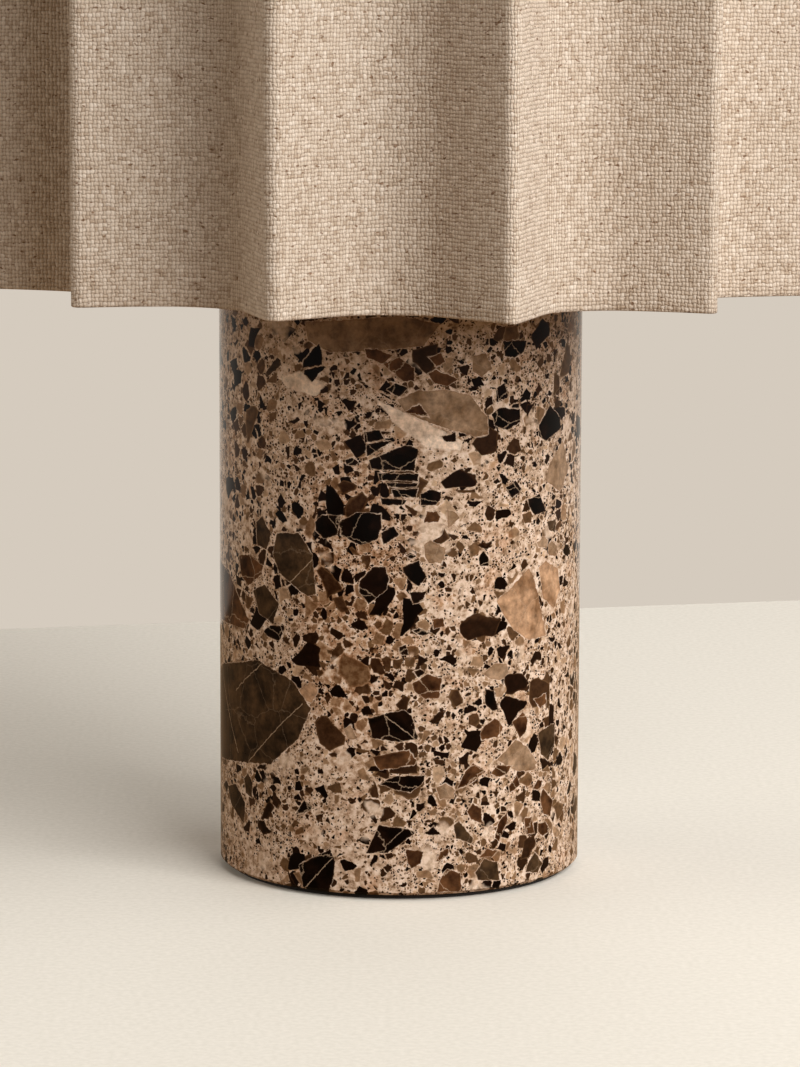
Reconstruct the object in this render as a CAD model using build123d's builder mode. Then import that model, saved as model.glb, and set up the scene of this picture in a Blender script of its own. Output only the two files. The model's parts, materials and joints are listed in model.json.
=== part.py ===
from build123d import *
import os
from math import atan2, cos, degrees, hypot, pi, radians, sin

os.makedirs("parts", exist_ok=True)

# Column table lamp: a bored stone cylinder, clamped by a threaded tube between a
# base nut and a brass cap, carries a lampholder with a bulb. A pleated linen
# shade on a wire frame rests on the lampholder's flange under a screwed ring.
#
# Millimetres. The origin is the middle of the foot, on the table. +Z is up and
# -Y is the front; the cord inlet is at the back, on +Y.

# ---------------------------------------------------------------- dimensions
# stone column
column_diameter = 100.0
column_length = 170.0
foot_edge_chamfer = 0.8
top_edge_radius = 1.5
tie_bore_diameter = 12.0
recess_diameter = 64.0
recess_depth = 24.0

# foot: felt pad under a steel plate that closes the recess
pad_diameter = 94.0
pad_thickness = 1.5
base_plate_diameter = 84.0
base_plate_thickness = 2.0
plate_screw_lip_share = 0.45
plate_screw_count = 3
first_plate_screw_angle = 30.0
plate_screw_diameter = 3.0
plate_screw_length = 8.0
plate_screw_head_diameter = 5.6
insert_diameter = 5.0
insert_length = 8.0

# threaded tube and what it clamps
tube_diameter = 10.0
tube_bore_diameter = 7.0
tube_below_nut = 2.0
tube_above_holder_base = 8.0
nut_flats = 14.0
nut_chamfer_share = 0.18
lower_nut_height = 5.0
upper_nut_height = 4.5
holder_nut_height = 3.0
lower_washer_diameter = 40.0
lower_washer_thickness = 2.0
lock_washer_diameter = 18.0
lock_washer_thickness = 1.0
lock_washer_teeth = 10
lock_washer_notch_radius = 1.5
fibre_washer_diameter = 60.0
fibre_washer_thickness = 1.0
top_cap_diameter = 68.0
top_cap_thickness = 3.0
neck_diameter = 22.0
neck_wall = 2.0
neck_length = 12.0

# cord inlet at the back of the column
inlet_height = 12.5
inlet_hole_diameter = 9.4
inlet_spotface_diameter = 13.6
inlet_spotface_depth = 2.5
bushing_flange_diameter = 13.0
bushing_flange_thickness = 2.8
bushing_length = 20.0
cord_diameter = 6.3
cord_clearance = 0.1

# cord clamp, terminal block and earth point on the base plate
clamp_distance = 22.0
clamp_width = 20.0
clamp_depth = 8.0
clamp_bridge_thickness = 3.0
clamp_screw_diameter = 3.0
clamp_screw_head_diameter = 5.4
clamp_screw_head_height = 1.8
clamp_screw_spacing = 13.0
block_distance = 18.0
block_width = 18.0
block_depth = 15.0
block_height = 12.0
block_corner_chamfer = 1.0
block_pole_spacing = 9.0
block_sleeve_diameter = 4.4
block_screw_diameter = 2.5
block_screw_spacing = 8.0
block_hole_height = 6.0
earth_point_x = 19.0
earth_point_y = 4.0
earth_screw_diameter = 3.5
earth_screw_head_diameter = 6.5
earth_screw_head_height = 2.1
earth_lug_diameter = 8.0
earth_lug_thickness = 0.8

# insulated leads inside the lamp
lead_diameter = 2.2
lead_circle_radius = 1.75
lead_bend_radius = 4.0
lead_terminal_depth = 4.0
lead_angles = (210, 330, 90)
lug_lead_gap = 0.5

# lampholder for an E27 cap, with a push-through switch
holder_cap_diameter = 38.0
holder_cap_foot_diameter = 20.0
holder_cap_height = 33.0
holder_cap_shoulder = 9.0
holder_cap_wall = 1.5
holder_cap_floor = 2.0
wiring_space = 10.0
insulator_diameter = 31.8
insulator_length = 19.5
insulator_floor = 12.5
terminal_diameter = 4.8
terminal_length = 6.0
live_terminal_x = -6.0
neutral_terminal_x = 6.0
front_terminal_y = -8.5
earth_terminal_y = 9.0
terminal_screw_diameter = 2.0
terminal_screw_setback = 0.5
shell_spigot_length = 5.5
shell_flange_diameter = 46.0
shell_flange_thickness = 2.5
shell_barrel_diameter = 39.0
shell_barrel_length = 19.0
shell_lip_diameter = 29.5
shell_lip_thickness = 1.5
shell_edge_radius = 0.5
ring_outer_diameter = 50.0
ring_height = 6.0
ring_edge_chamfer = 0.8
ring_grips = 24
ring_grip_depth = 0.6
screw_sleeve_wall = 0.4
screw_sleeve_turns = 4
contact_strip_width = 5.0
contact_strip_thickness = 0.5
contact_lift = 1.3
contact_strip_margin = 2.0

# push bar of the switch
switch_height = 5.7
switch_bar_diameter = 4.0
switch_travel = 5.0
switch_button_diameter = 7.0
switch_button_length = 5.0
switch_button_gap = 0.5
switch_button_edge_radius = 1.2
switch_cavity_length = 12.0
switch_cavity_width = 9.0
switch_cavity_height = 8.0
switch_bridge_diameter = 7.2
switch_bridge_length = 3.0
switch_leaf_thickness = 0.5

# bulb
bulb_diameter = 60.0
bulb_length = 105.0
bulb_glass_wall = 0.8
thread_crest_diameter = 26.2
thread_root_diameter = 24.4
thread_pitch = 3.6
thread_turns = 5
thread_flank_share = 0.3
bulb_cap_wall = 0.5
bulb_tip_diameter = 9.6
bulb_tip_height = 1.4
bulb_tip_edge_radius = 0.84
bulb_tip_insulator_height = 3.6
stem_diameter = 7.0
stem_height = 24.0
stem_foot_diameter = 11.0
filament_count = 4
filament_diameter = 1.8
filament_length = 34.0
filament_stand_off = 3.0
filament_circle_radius = 8.0
support_wire_diameter = 0.8

# pleated shade and its wire frame
shade_height = 210.0
pleat_count = 12
first_ridge_angle = 13.9
ridge_diameter = 239.0
valley_diameter = 172.0
ridge_fold_radius = 3.0
valley_fold_radius = 18.0
cloth_thickness = 0.9
fitter_above_hem = 60.0
fitter_ring_diameter = 54.0
fitter_ring_thickness = 1.5
arm_count = 3
arm_diameter = 3.5
arm_foot_inset = 1.0
wire_diameter = 3.0
strut_count = 6
strut_diameter = 2.5
ring_inset = 2.0

# clearances
seat_gap = 0.1
thread_gap = 0.05
running_gap = 0.08
slide_gap = 0.1
cloth_gap = 0.3
contact_gap = 0.3
lead_gap = 0.1

# -------------------------------------------------------------------- levels
pad_top = pad_thickness
plate_top = pad_top + base_plate_thickness
recess_top = plate_top + recess_depth
column_top = pad_top + column_length
lower_nut_top = recess_top - lower_washer_thickness - lock_washer_thickness
lower_nut_base = lower_nut_top - lower_nut_height
tube_base = lower_nut_base - tube_below_nut
top_cap_base = column_top + fibre_washer_thickness
neck_base = top_cap_base + top_cap_thickness
holder_base = neck_base + neck_length
tube_top = holder_base + tube_above_holder_base
insulator_base = tube_top + wiring_space
insulator_seat = insulator_base + insulator_floor
switch_level = insulator_base + switch_height
holder_cap_top = holder_base + holder_cap_height
flange_top = holder_cap_top + shell_flange_thickness
fitter_top = flange_top + fitter_ring_thickness
bulb_base = insulator_seat + contact_strip_thickness + contact_lift
bulb_top = bulb_base + bulb_length
hem_level = flange_top - fitter_above_hem
shade_top = hem_level + shade_height

column_radius = column_diameter / 2
lip_width = (base_plate_diameter - recess_diameter) / 2
plate_screw_circle = recess_diameter + 2 * lip_width * plate_screw_lip_share
tube_radius = tube_diameter / 2
back_face = Plane.XZ.offset(-column_radius)

# --------------------------------------------------------------- stone column
# Bored from end to end for the tube, hollowed from below for the wiring, with a
# rebate for the base plate and a drilled way out at the back for the cord.
with BuildPart(Plane.XY.offset(pad_top)) as column:
    Cylinder(column_radius, column_length, align=(Align.CENTER, Align.CENTER, Align.MIN))
    fillet(column.edges().sort_by(Axis.Z)[-1], top_edge_radius)
    chamfer(column.edges().sort_by(Axis.Z)[0], foot_edge_chamfer)
    with BuildSketch(Plane.XY.offset(pad_top)):
        Circle(tie_bore_diameter / 2)
    extrude(amount=column_length, mode=Mode.SUBTRACT)
    with BuildSketch(Plane.XY.offset(pad_top)):
        Circle(base_plate_diameter / 2 + seat_gap)
    extrude(amount=base_plate_thickness, mode=Mode.SUBTRACT)
    with BuildSketch(Plane.XY.offset(plate_top)):
        Circle(recess_diameter / 2)
    extrude(amount=recess_depth, mode=Mode.SUBTRACT)
    with BuildSketch(Plane.XY.offset(plate_top)):
        with PolarLocations(plate_screw_circle / 2, plate_screw_count, first_plate_screw_angle):
            Circle(insert_diameter / 2)
    extrude(amount=insert_length, mode=Mode.SUBTRACT)
    with BuildSketch(back_face):
        with Locations((0, inlet_height)):
            Circle(inlet_hole_diameter / 2)
    extrude(amount=column_radius - recess_diameter / 4, mode=Mode.SUBTRACT)
    with BuildSketch(back_face):
        with Locations((0, inlet_height)):
            Circle(inlet_spotface_diameter / 2)
    extrude(amount=inlet_spotface_depth, mode=Mode.SUBTRACT)
column.part.label = "column"
export_step(column.part, "parts/column.step")

# ----------------------------------------------------------------------- foot
with BuildPart() as foot_pad:
    with BuildSketch():
        Circle(pad_diameter / 2)
    extrude(amount=pad_thickness)
foot_pad.part.label = "foot_pad"
export_step(foot_pad.part, "parts/foot_pad.step")

# The plate's countersinks open downwards and are covered by the pad.
countersink_depth = (plate_screw_head_diameter - plate_screw_diameter) / 2
with BuildPart() as base_plate:
    with BuildSketch(Plane.XY.offset(pad_top)):
        Circle(base_plate_diameter / 2)
        with PolarLocations(plate_screw_circle / 2, plate_screw_count, first_plate_screw_angle):
            Circle(plate_screw_diameter / 2 + seat_gap, mode=Mode.SUBTRACT)
        with Locations((earth_point_x, earth_point_y)):
            Circle(earth_screw_diameter / 2 + thread_gap, mode=Mode.SUBTRACT)
        with Locations((0, clamp_distance)):
            with GridLocations(clamp_screw_spacing, 0, 2, 1):
                Circle(clamp_screw_diameter / 2 + thread_gap, mode=Mode.SUBTRACT)
    extrude(amount=base_plate_thickness)
    with Locations(Plane.XY.offset(pad_top)):
        with PolarLocations(plate_screw_circle / 2, plate_screw_count, first_plate_screw_angle):
            Cone(
                plate_screw_head_diameter / 2 + seat_gap,
                plate_screw_diameter / 2 + seat_gap,
                countersink_depth,
                align=(Align.CENTER, Align.CENTER, Align.MIN),
                mode=Mode.SUBTRACT,
            )
base_plate.part.label = "base_plate"
export_step(base_plate.part, "parts/base_plate.step")

with BuildPart(Plane.XY.offset(pad_top)) as plate_screws:
    with PolarLocations(plate_screw_circle / 2, plate_screw_count, first_plate_screw_angle):
        Cone(
            plate_screw_head_diameter / 2,
            plate_screw_diameter / 2,
            countersink_depth,
            align=(Align.CENTER, Align.CENTER, Align.MIN),
        )
        Cylinder(
            plate_screw_diameter / 2,
            plate_screw_length,
            align=(Align.CENTER, Align.CENTER, Align.MIN),
        )
plate_screws.part.label = "plate_screws"
export_step(plate_screws.part, "parts/plate_screws.step")

with BuildPart() as plate_inserts:
    with BuildSketch(Plane.XY.offset(plate_top)):
        with PolarLocations(plate_screw_circle / 2, plate_screw_count, first_plate_screw_angle):
            Circle(insert_diameter / 2)
            Circle(plate_screw_diameter / 2 + thread_gap, mode=Mode.SUBTRACT)
    extrude(amount=insert_length)
plate_inserts.part.label = "plate_inserts"
export_step(plate_inserts.part, "parts/plate_inserts.step")

# ------------------------------------------------------------- tube and nuts
with BuildPart() as tie_tube:
    with BuildSketch(Plane.XY.offset(tube_base)):
        Circle(tube_radius)
        Circle(tube_bore_diameter / 2, mode=Mode.SUBTRACT)
    extrude(amount=tube_top - tube_base)
tie_tube.part.label = "tie_tube"
export_step(tie_tube.part, "parts/tie_tube.step")


def hexagon_nut(level, height):
    """A hexagon nut for the tube, its faces chamfered at the corners."""
    corner_radius = nut_flats / 2 / cos(radians(30))
    with BuildPart() as nut:
        with BuildSketch(Plane.XY.offset(level)):
            RegularPolygon(nut_flats / 2, 6, major_radius=False)
            Circle(tube_radius + thread_gap, mode=Mode.SUBTRACT)
        extrude(amount=height)
        with BuildSketch(Plane.XZ):
            with BuildLine():
                Polyline(
                    (0, level),
                    (nut_flats / 2, level),
                    (corner_radius, level + height * nut_chamfer_share),
                    (corner_radius, level + height * (1 - nut_chamfer_share)),
                    (nut_flats / 2, level + height),
                    (0, level + height),
                    close=True,
                )
            make_face()
        revolve(axis=Axis.Z, mode=Mode.INTERSECT)
    return nut.part


lower_nut = hexagon_nut(lower_nut_base, lower_nut_height)
lower_nut.label = "lower_nut"
export_step(lower_nut, "parts/lower_nut.step")

upper_nut = hexagon_nut(neck_base, upper_nut_height)
upper_nut.label = "upper_nut"
export_step(upper_nut, "parts/upper_nut.step")

holder_nut = hexagon_nut(holder_base + holder_cap_floor, holder_nut_height)
holder_nut.label = "holder_nut"
export_step(holder_nut, "parts/holder_nut.step")

with BuildPart() as lower_washer:
    with BuildSketch(Plane.XY.offset(recess_top - lower_washer_thickness)):
        Circle(lower_washer_diameter / 2)
        Circle(tube_radius + seat_gap, mode=Mode.SUBTRACT)
    extrude(amount=lower_washer_thickness)
lower_washer.part.label = "lower_washer"
export_step(lower_washer.part, "parts/lower_washer.step")

# Toothed lock washer: the rim is notched between its teeth.
with BuildPart() as lock_washer:
    with BuildSketch(Plane.XY.offset(lower_nut_top)):
        Circle(lock_washer_diameter / 2)
        Circle(tube_radius + seat_gap, mode=Mode.SUBTRACT)
        with PolarLocations(lock_washer_diameter / 2, lock_washer_teeth):
            Circle(lock_washer_notch_radius, mode=Mode.SUBTRACT)
    extrude(amount=lock_washer_thickness)
lock_washer.part.label = "lock_washer"
export_step(lock_washer.part, "parts/lock_washer.step")

with BuildPart() as fibre_washer:
    with BuildSketch(Plane.XY.offset(column_top)):
        Circle(fibre_washer_diameter / 2)
        Circle(tube_radius + seat_gap, mode=Mode.SUBTRACT)
    extrude(amount=fibre_washer_thickness)
fibre_washer.part.label = "fibre_washer"
export_step(fibre_washer.part, "parts/fibre_washer.step")

with BuildPart() as top_cap:
    with BuildSketch(Plane.XY.offset(top_cap_base)):
        Circle(top_cap_diameter / 2)
        Circle(tube_radius + seat_gap, mode=Mode.SUBTRACT)
    extrude(amount=top_cap_thickness)
    rim = top_cap.faces().sort_by(Axis.Z)[-1].edges().sort_by(SortBy.LENGTH)[-1]
    fillet(rim, top_cap_thickness / 2)
top_cap.part.label = "top_cap"
export_step(top_cap.part, "parts/top_cap.step")

# The neck is a cup turned upside down: it hides the upper nut, and its roof
# carries the lampholder.
with BuildPart() as neck:
    with BuildSketch(Plane.XY.offset(neck_base)):
        Circle(neck_diameter / 2)
        Circle(neck_diameter / 2 - neck_wall, mode=Mode.SUBTRACT)
    extrude(amount=neck_length - neck_wall)
    with BuildSketch(Plane.XY.offset(holder_base - neck_wall)):
        Circle(neck_diameter / 2)
        Circle(tube_radius + seat_gap, mode=Mode.SUBTRACT)
    extrude(amount=neck_wall)
neck.part.label = "neck"
export_step(neck.part, "parts/neck.step")

# ----------------------------------------------------------------- cord inlet
bushing_outer_end = column_radius - inlet_spotface_depth + bushing_flange_thickness
bushing_inner_end = bushing_outer_end - bushing_length
with BuildPart() as inlet_bushing:
    with BuildSketch(Plane.XZ.offset(-bushing_outer_end)):
        with Locations((0, inlet_height)):
            Circle(bushing_flange_diameter / 2)
    extrude(amount=bushing_flange_thickness)
    fillet(
        inlet_bushing.faces().sort_by(Axis.Y)[-1].edges(),
        bushing_flange_thickness / 4,
    )
    with BuildSketch(Plane.XZ.offset(-bushing_outer_end + bushing_flange_thickness)):
        with Locations((0, inlet_height)):
            Circle(inlet_hole_diameter / 2 - seat_gap)
    extrude(amount=bushing_length - bushing_flange_thickness)
    with BuildSketch(Plane.XZ.offset(-bushing_outer_end)):
        with Locations((0, inlet_height)):
            Circle(cord_diameter / 2 + cord_clearance)
    extrude(amount=bushing_length, mode=Mode.SUBTRACT)
inlet_bushing.part.label = "inlet_bushing"
export_step(inlet_bushing.part, "parts/inlet_bushing.step")

# The clamp grips the cord between a grooved saddle and a bridge. Their grooves
# share the inlet's axis.
grip_radius = cord_diameter / 2
with BuildPart() as clamp_saddle:
    with BuildSketch(Plane.XY.offset(plate_top)):
        with Locations((0, clamp_distance)):
            Rectangle(clamp_width, clamp_depth)
            with GridLocations(clamp_screw_spacing, 0, 2, 1):
                Circle(clamp_screw_diameter / 2 + seat_gap, mode=Mode.SUBTRACT)
    extrude(amount=inlet_height - plate_top - cord_clearance)
    with BuildSketch(Plane.XZ.offset(-clamp_distance - clamp_depth)):
        with Locations((0, inlet_height)):
            Circle(grip_radius)
    extrude(amount=2 * clamp_depth, mode=Mode.SUBTRACT)
clamp_saddle.part.label = "clamp_saddle"
export_step(clamp_saddle.part, "parts/clamp_saddle.step")

bridge_top = inlet_height + grip_radius + clamp_bridge_thickness
with BuildPart() as clamp_bridge:
    with BuildSketch(Plane.XY.offset(inlet_height + cord_clearance)):
        with Locations((0, clamp_distance)):
            Rectangle(clamp_width, clamp_depth)
            with GridLocations(clamp_screw_spacing, 0, 2, 1):
                Circle(clamp_screw_diameter / 2 + seat_gap, mode=Mode.SUBTRACT)
    extrude(amount=bridge_top - inlet_height - cord_clearance)
    with BuildSketch(Plane.XZ.offset(-clamp_distance - clamp_depth)):
        with Locations((0, inlet_height)):
            Circle(grip_radius)
    extrude(amount=2 * clamp_depth, mode=Mode.SUBTRACT)
clamp_bridge.part.label = "clamp_bridge"
export_step(clamp_bridge.part, "parts/clamp_bridge.step")

with BuildPart(Plane.XY.offset(pad_top)) as clamp_screws:
    with Locations((0, clamp_distance, 0)):
        with GridLocations(clamp_screw_spacing, 0, 2, 1):
            Cylinder(
                clamp_screw_diameter / 2,
                bridge_top - pad_top,
                align=(Align.CENTER, Align.CENTER, Align.MIN),
            )
    with Locations((0, clamp_distance, bridge_top - pad_top)):
        with GridLocations(clamp_screw_spacing, 0, 2, 1):
            Cylinder(
                clamp_screw_head_diameter / 2,
                clamp_screw_head_height,
                align=(Align.CENTER, Align.CENTER, Align.MIN),
            )
clamp_screws.part.label = "clamp_screws"
export_step(clamp_screws.part, "parts/clamp_screws.step")

# ------------------------------------------------------------- terminal block
# One pole each for live and neutral: a brass sleeve through the block, held by
# screws that come down from the top.
block_hole_level = plate_top + block_hole_height
with BuildPart() as terminal_block:
    with BuildSketch(Plane.XY.offset(plate_top)):
        with Locations((0, -block_distance)):
            Rectangle(block_width, block_depth)
    extrude(amount=block_height)
    chamfer(terminal_block.edges().filter_by(Axis.Z), block_corner_chamfer)
    with BuildSketch(Plane.XZ.offset(block_distance - block_depth)):
        with Locations((0, block_hole_level)):
            with GridLocations(block_pole_spacing, 0, 2, 1):
                Circle(block_sleeve_diameter / 2)
    extrude(amount=2 * block_depth, mode=Mode.SUBTRACT)
    with BuildSketch(Plane.XY.offset(block_hole_level)):
        with Locations((0, -block_distance)):
            with GridLocations(block_pole_spacing, block_screw_spacing, 2, 2):
                Circle(block_screw_diameter / 2 + seat_gap)
    extrude(amount=block_height, mode=Mode.SUBTRACT)
terminal_block.part.label = "terminal_block"
export_step(terminal_block.part, "parts/terminal_block.step")

with BuildPart() as block_sleeves:
    with BuildSketch(Plane.XZ.offset(block_distance - block_depth / 2)):
        with Locations((0, block_hole_level)):
            with GridLocations(block_pole_spacing, 0, 2, 1):
                Circle(block_sleeve_diameter / 2)
                Circle(lead_diameter / 2 + lead_gap, mode=Mode.SUBTRACT)
    extrude(amount=block_depth)
    with BuildSketch(Plane.XY.offset(block_hole_level)):
        with Locations((0, -block_distance)):
            with GridLocations(block_pole_spacing, block_screw_spacing, 2, 2):
                Circle(block_screw_diameter / 2 + seat_gap)
    extrude(amount=block_height, mode=Mode.SUBTRACT)
block_sleeves.part.label = "block_sleeves"
export_step(block_sleeves.part, "parts/block_sleeves.step")

screw_tip_level = block_hole_level + lead_diameter / 2 + lead_gap
with BuildPart(Plane.XY.offset(screw_tip_level)) as block_screws:
    with Locations((0, -block_distance, 0)):
        with GridLocations(block_pole_spacing, block_screw_spacing, 2, 2):
            Cylinder(
                block_screw_diameter / 2,
                plate_top + block_height - screw_tip_level - seat_gap,
                align=(Align.CENTER, Align.CENTER, Align.MIN),
            )
block_screws.part.label = "block_screws"
export_step(block_screws.part, "parts/block_screws.step")

# ---------------------------------------------------------------- earth point
lug_direction = degrees(atan2(-earth_point_y, -earth_point_x))
lug_reach = hypot(earth_point_x, earth_point_y) / 2
with BuildPart() as earth_lug:
    with BuildSketch(Plane.XY.offset(plate_top)):
        with Locations((earth_point_x, earth_point_y)):
            Circle(earth_lug_diameter / 2)
        with Locations(Location((earth_point_x, earth_point_y, 0), (0, 0, lug_direction))):
            Rectangle(lug_reach, lead_diameter, align=(Align.MIN, Align.CENTER))
        with Locations((earth_point_x, earth_point_y)):
            Circle(earth_screw_diameter / 2 + seat_gap, mode=Mode.SUBTRACT)
    extrude(amount=earth_lug_thickness)
earth_lug.part.label = "earth_lug"
export_step(earth_lug.part, "parts/earth_lug.step")

with BuildPart(Plane.XY.offset(pad_top)) as earth_screw:
    with Locations((earth_point_x, earth_point_y, 0)):
        Cylinder(
            earth_screw_diameter / 2,
            base_plate_thickness + earth_lug_thickness,
            align=(Align.CENTER, Align.CENTER, Align.MIN),
        )
    with Locations((earth_point_x, earth_point_y, base_plate_thickness + earth_lug_thickness)):
        Cylinder(
            earth_screw_head_diameter / 2,
            earth_screw_head_height,
            align=(Align.CENTER, Align.CENTER, Align.MIN),
        )
earth_screw.part.label = "earth_screw"
export_step(earth_screw.part, "parts/earth_screw.step")

# ----------------------------------------------------------------- lampholder
cap_inner_radius = holder_cap_diameter / 2 - holder_cap_wall
foot_inner_radius = holder_cap_foot_diameter / 2 - holder_cap_wall / 2
with BuildPart() as holder_cap:
    with BuildSketch(Plane.XZ):
        with BuildLine():
            Polyline(
                (tube_radius + thread_gap, holder_base),
                (holder_cap_foot_diameter / 2, holder_base),
                (holder_cap_diameter / 2, holder_base + holder_cap_shoulder),
                (holder_cap_diameter / 2, holder_cap_top),
                (cap_inner_radius, holder_cap_top),
                (cap_inner_radius, holder_base + holder_cap_shoulder + holder_cap_wall / 2),
                (foot_inner_radius, holder_base + holder_cap_floor),
                (tube_radius + thread_gap, holder_base + holder_cap_floor),
                close=True,
            )
        make_face()
    revolve(axis=Axis.Z)
    shoulder_edge = holder_cap.edges().filter_by(GeomType.CIRCLE).group_by(Axis.Z)[2][-1]
    fillet(shoulder_edge, holder_cap_shoulder / 3)
    with BuildSketch(Plane.YZ.offset(-holder_cap_diameter)):
        with Locations((0, switch_level)):
            Circle(switch_bar_diameter / 2 + slide_gap)
    extrude(amount=2 * holder_cap_diameter, mode=Mode.SUBTRACT)
holder_cap.part.label = "holder_cap"
export_step(holder_cap.part, "parts/holder_cap.step")

terminal_centres = [
    (live_terminal_x, front_terminal_y),
    (neutral_terminal_x, front_terminal_y),
    (0, earth_terminal_y),
]
insulator_top = insulator_base + insulator_length
sleeve_outer_radius = thread_crest_diameter / 2 + seat_gap + screw_sleeve_wall
screw_level = insulator_base + terminal_length / 2
with BuildPart() as insulator:
    with BuildSketch(Plane.XY.offset(insulator_base)):
        Circle(insulator_diameter / 2)
    extrude(amount=insulator_length)
    with BuildSketch(Plane.XY.offset(insulator_seat)):
        Circle(sleeve_outer_radius + seat_gap)
    extrude(amount=insulator_length, mode=Mode.SUBTRACT)
    with BuildSketch(Plane.XY.offset(insulator_base)):
        with Locations(*terminal_centres):
            Circle(terminal_diameter / 2)
    extrude(amount=terminal_length, mode=Mode.SUBTRACT)
    with BuildSketch(Plane.YZ.offset(-insulator_diameter)):
        with Locations((0, switch_level)):
            Circle(switch_bar_diameter / 2 + slide_gap)
    extrude(amount=2 * insulator_diameter, mode=Mode.SUBTRACT)
    with Locations((0, 0, switch_level)):
        Box(
            switch_cavity_length,
            switch_cavity_width,
            switch_cavity_height,
            mode=Mode.SUBTRACT,
        )
    for x, y in terminal_centres:
        outward = Vector(x, y, 0).normalized()
        with BuildSketch(Plane(origin=(x, y, screw_level), z_dir=outward)):
            Circle(terminal_screw_diameter / 2 + seat_gap)
        extrude(amount=insulator_diameter, mode=Mode.SUBTRACT)
insulator.part.label = "insulator"
export_step(insulator.part, "parts/insulator.step")

with BuildPart() as holder_terminals:
    with BuildSketch(Plane.XY.offset(insulator_base)):
        with Locations(*terminal_centres):
            Circle(terminal_diameter / 2)
    extrude(amount=terminal_length)
    with BuildSketch(Plane.XY.offset(insulator_base)):
        with Locations(*terminal_centres):
            Circle(lead_diameter / 2 + lead_gap)
    extrude(amount=lead_terminal_depth, mode=Mode.SUBTRACT)
    for x, y in terminal_centres:
        outward = Vector(x, y, 0).normalized()
        with BuildSketch(Plane(origin=(x, y, screw_level), z_dir=outward)):
            Circle(terminal_screw_diameter / 2 + thread_gap)
        extrude(amount=terminal_diameter, mode=Mode.SUBTRACT)
holder_terminals.part.label = "holder_terminals"
export_step(holder_terminals.part, "parts/holder_terminals.step")

with BuildPart() as terminal_screws:
    for x, y in terminal_centres:
        outward = Vector(x, y, 0).normalized()
        start = Vector(x, y, screw_level) + outward * (lead_diameter / 2 + lead_gap)
        wall_reach = insulator_diameter / 2 - Vector(x, y, 0).length - lead_diameter / 2
        with BuildSketch(Plane(origin=start, z_dir=outward)):
            Circle(terminal_screw_diameter / 2)
        extrude(amount=wall_reach - terminal_screw_setback)
terminal_screws.part.label = "terminal_screws"
export_step(terminal_screws.part, "parts/terminal_screws.step")

# The shell screws into the cap. Its flange carries the shade's fitter ring, and
# the barrel above it has the thread of the retaining ring.
spigot_base = holder_cap_top - shell_spigot_length
barrel_top = flange_top + shell_barrel_length
barrel_radius = shell_barrel_diameter / 2
shell_bore_radius = insulator_diameter / 2 + seat_gap
with BuildPart() as holder_shell:
    with BuildSketch(Plane.XZ):
        with BuildLine():
            Polyline(
                (shell_bore_radius, spigot_base),
                (cap_inner_radius - thread_gap, spigot_base),
                (cap_inner_radius - thread_gap, holder_cap_top),
                (shell_flange_diameter / 2, holder_cap_top),
                (shell_flange_diameter / 2, flange_top),
                (barrel_radius, flange_top),
                (barrel_radius, barrel_top),
                (shell_lip_diameter / 2, barrel_top),
                (shell_lip_diameter / 2, barrel_top - shell_lip_thickness),
                (shell_bore_radius, barrel_top - shell_lip_thickness),
                close=True,
            )
        make_face()
    revolve(axis=Axis.Z)
    mouth_edge = holder_shell.edges().filter_by(GeomType.CIRCLE).sort_by(Axis.Z)[-1]
    fillet(mouth_edge, shell_edge_radius)
holder_shell.part.label = "holder_shell"
export_step(holder_shell.part, "parts/holder_shell.step")

with BuildPart() as retaining_ring:
    with BuildSketch(Plane.XY.offset(fitter_top + running_gap)):
        Circle(ring_outer_diameter / 2)
        Circle(barrel_radius + thread_gap, mode=Mode.SUBTRACT)
    extrude(amount=ring_height)
    chamfer(
        retaining_ring.faces().sort_by(Axis.Z)[-1].edges().sort_by(SortBy.LENGTH)[-1],
        ring_edge_chamfer,
    )
    with BuildSketch(Plane.XY.offset(fitter_top + running_gap + ring_height / 4)):
        with PolarLocations(ring_outer_diameter / 2, ring_grips):
            Circle(ring_grip_depth)
    extrude(amount=ring_height, mode=Mode.SUBTRACT)
retaining_ring.part.label = "retaining_ring"
export_step(retaining_ring.part, "parts/retaining_ring.step")


thread_flank = thread_pitch * thread_flank_share


def thread_profile(crest, root, level, turns):
    """Points up a knuckle thread: each turn has a flat root and a flat crest."""
    points = []
    for turn in range(turns):
        base = level + turn * thread_pitch
        points.append((root, base))
        points.append((crest, base + thread_flank))
        points.append((crest, base + 2 * thread_flank))
        points.append((root, base + 3 * thread_flank))
    return points


# The brass sleeve is pressed with the same knuckles as the bulb's cap.
thread_base = bulb_base + bulb_tip_height + bulb_tip_insulator_height
sleeve_inner = thread_profile(
    thread_crest_diameter / 2 + seat_gap,
    thread_root_diameter / 2 + seat_gap,
    thread_base,
    screw_sleeve_turns,
)
sleeve_outer = thread_profile(
    sleeve_outer_radius,
    thread_root_diameter / 2 + seat_gap + screw_sleeve_wall,
    thread_base,
    screw_sleeve_turns,
)
sleeve_foot = insulator_seat
sleeve_end = thread_base + screw_sleeve_turns * thread_pitch
with BuildPart() as screw_sleeve:
    with BuildSketch(Plane.XZ):
        with BuildLine():
            Polyline(
                (sleeve_outer_radius - screw_sleeve_wall, sleeve_foot),
                *sleeve_inner,
                (sleeve_outer_radius - screw_sleeve_wall, sleeve_end),
                (sleeve_outer_radius, sleeve_end),
                *reversed(sleeve_outer),
                (sleeve_outer_radius, sleeve_foot),
                close=True,
            )
        make_face()
    revolve(axis=Axis.Z)
screw_sleeve.part.label = "screw_sleeve"
export_step(screw_sleeve.part, "parts/screw_sleeve.step")

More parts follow.
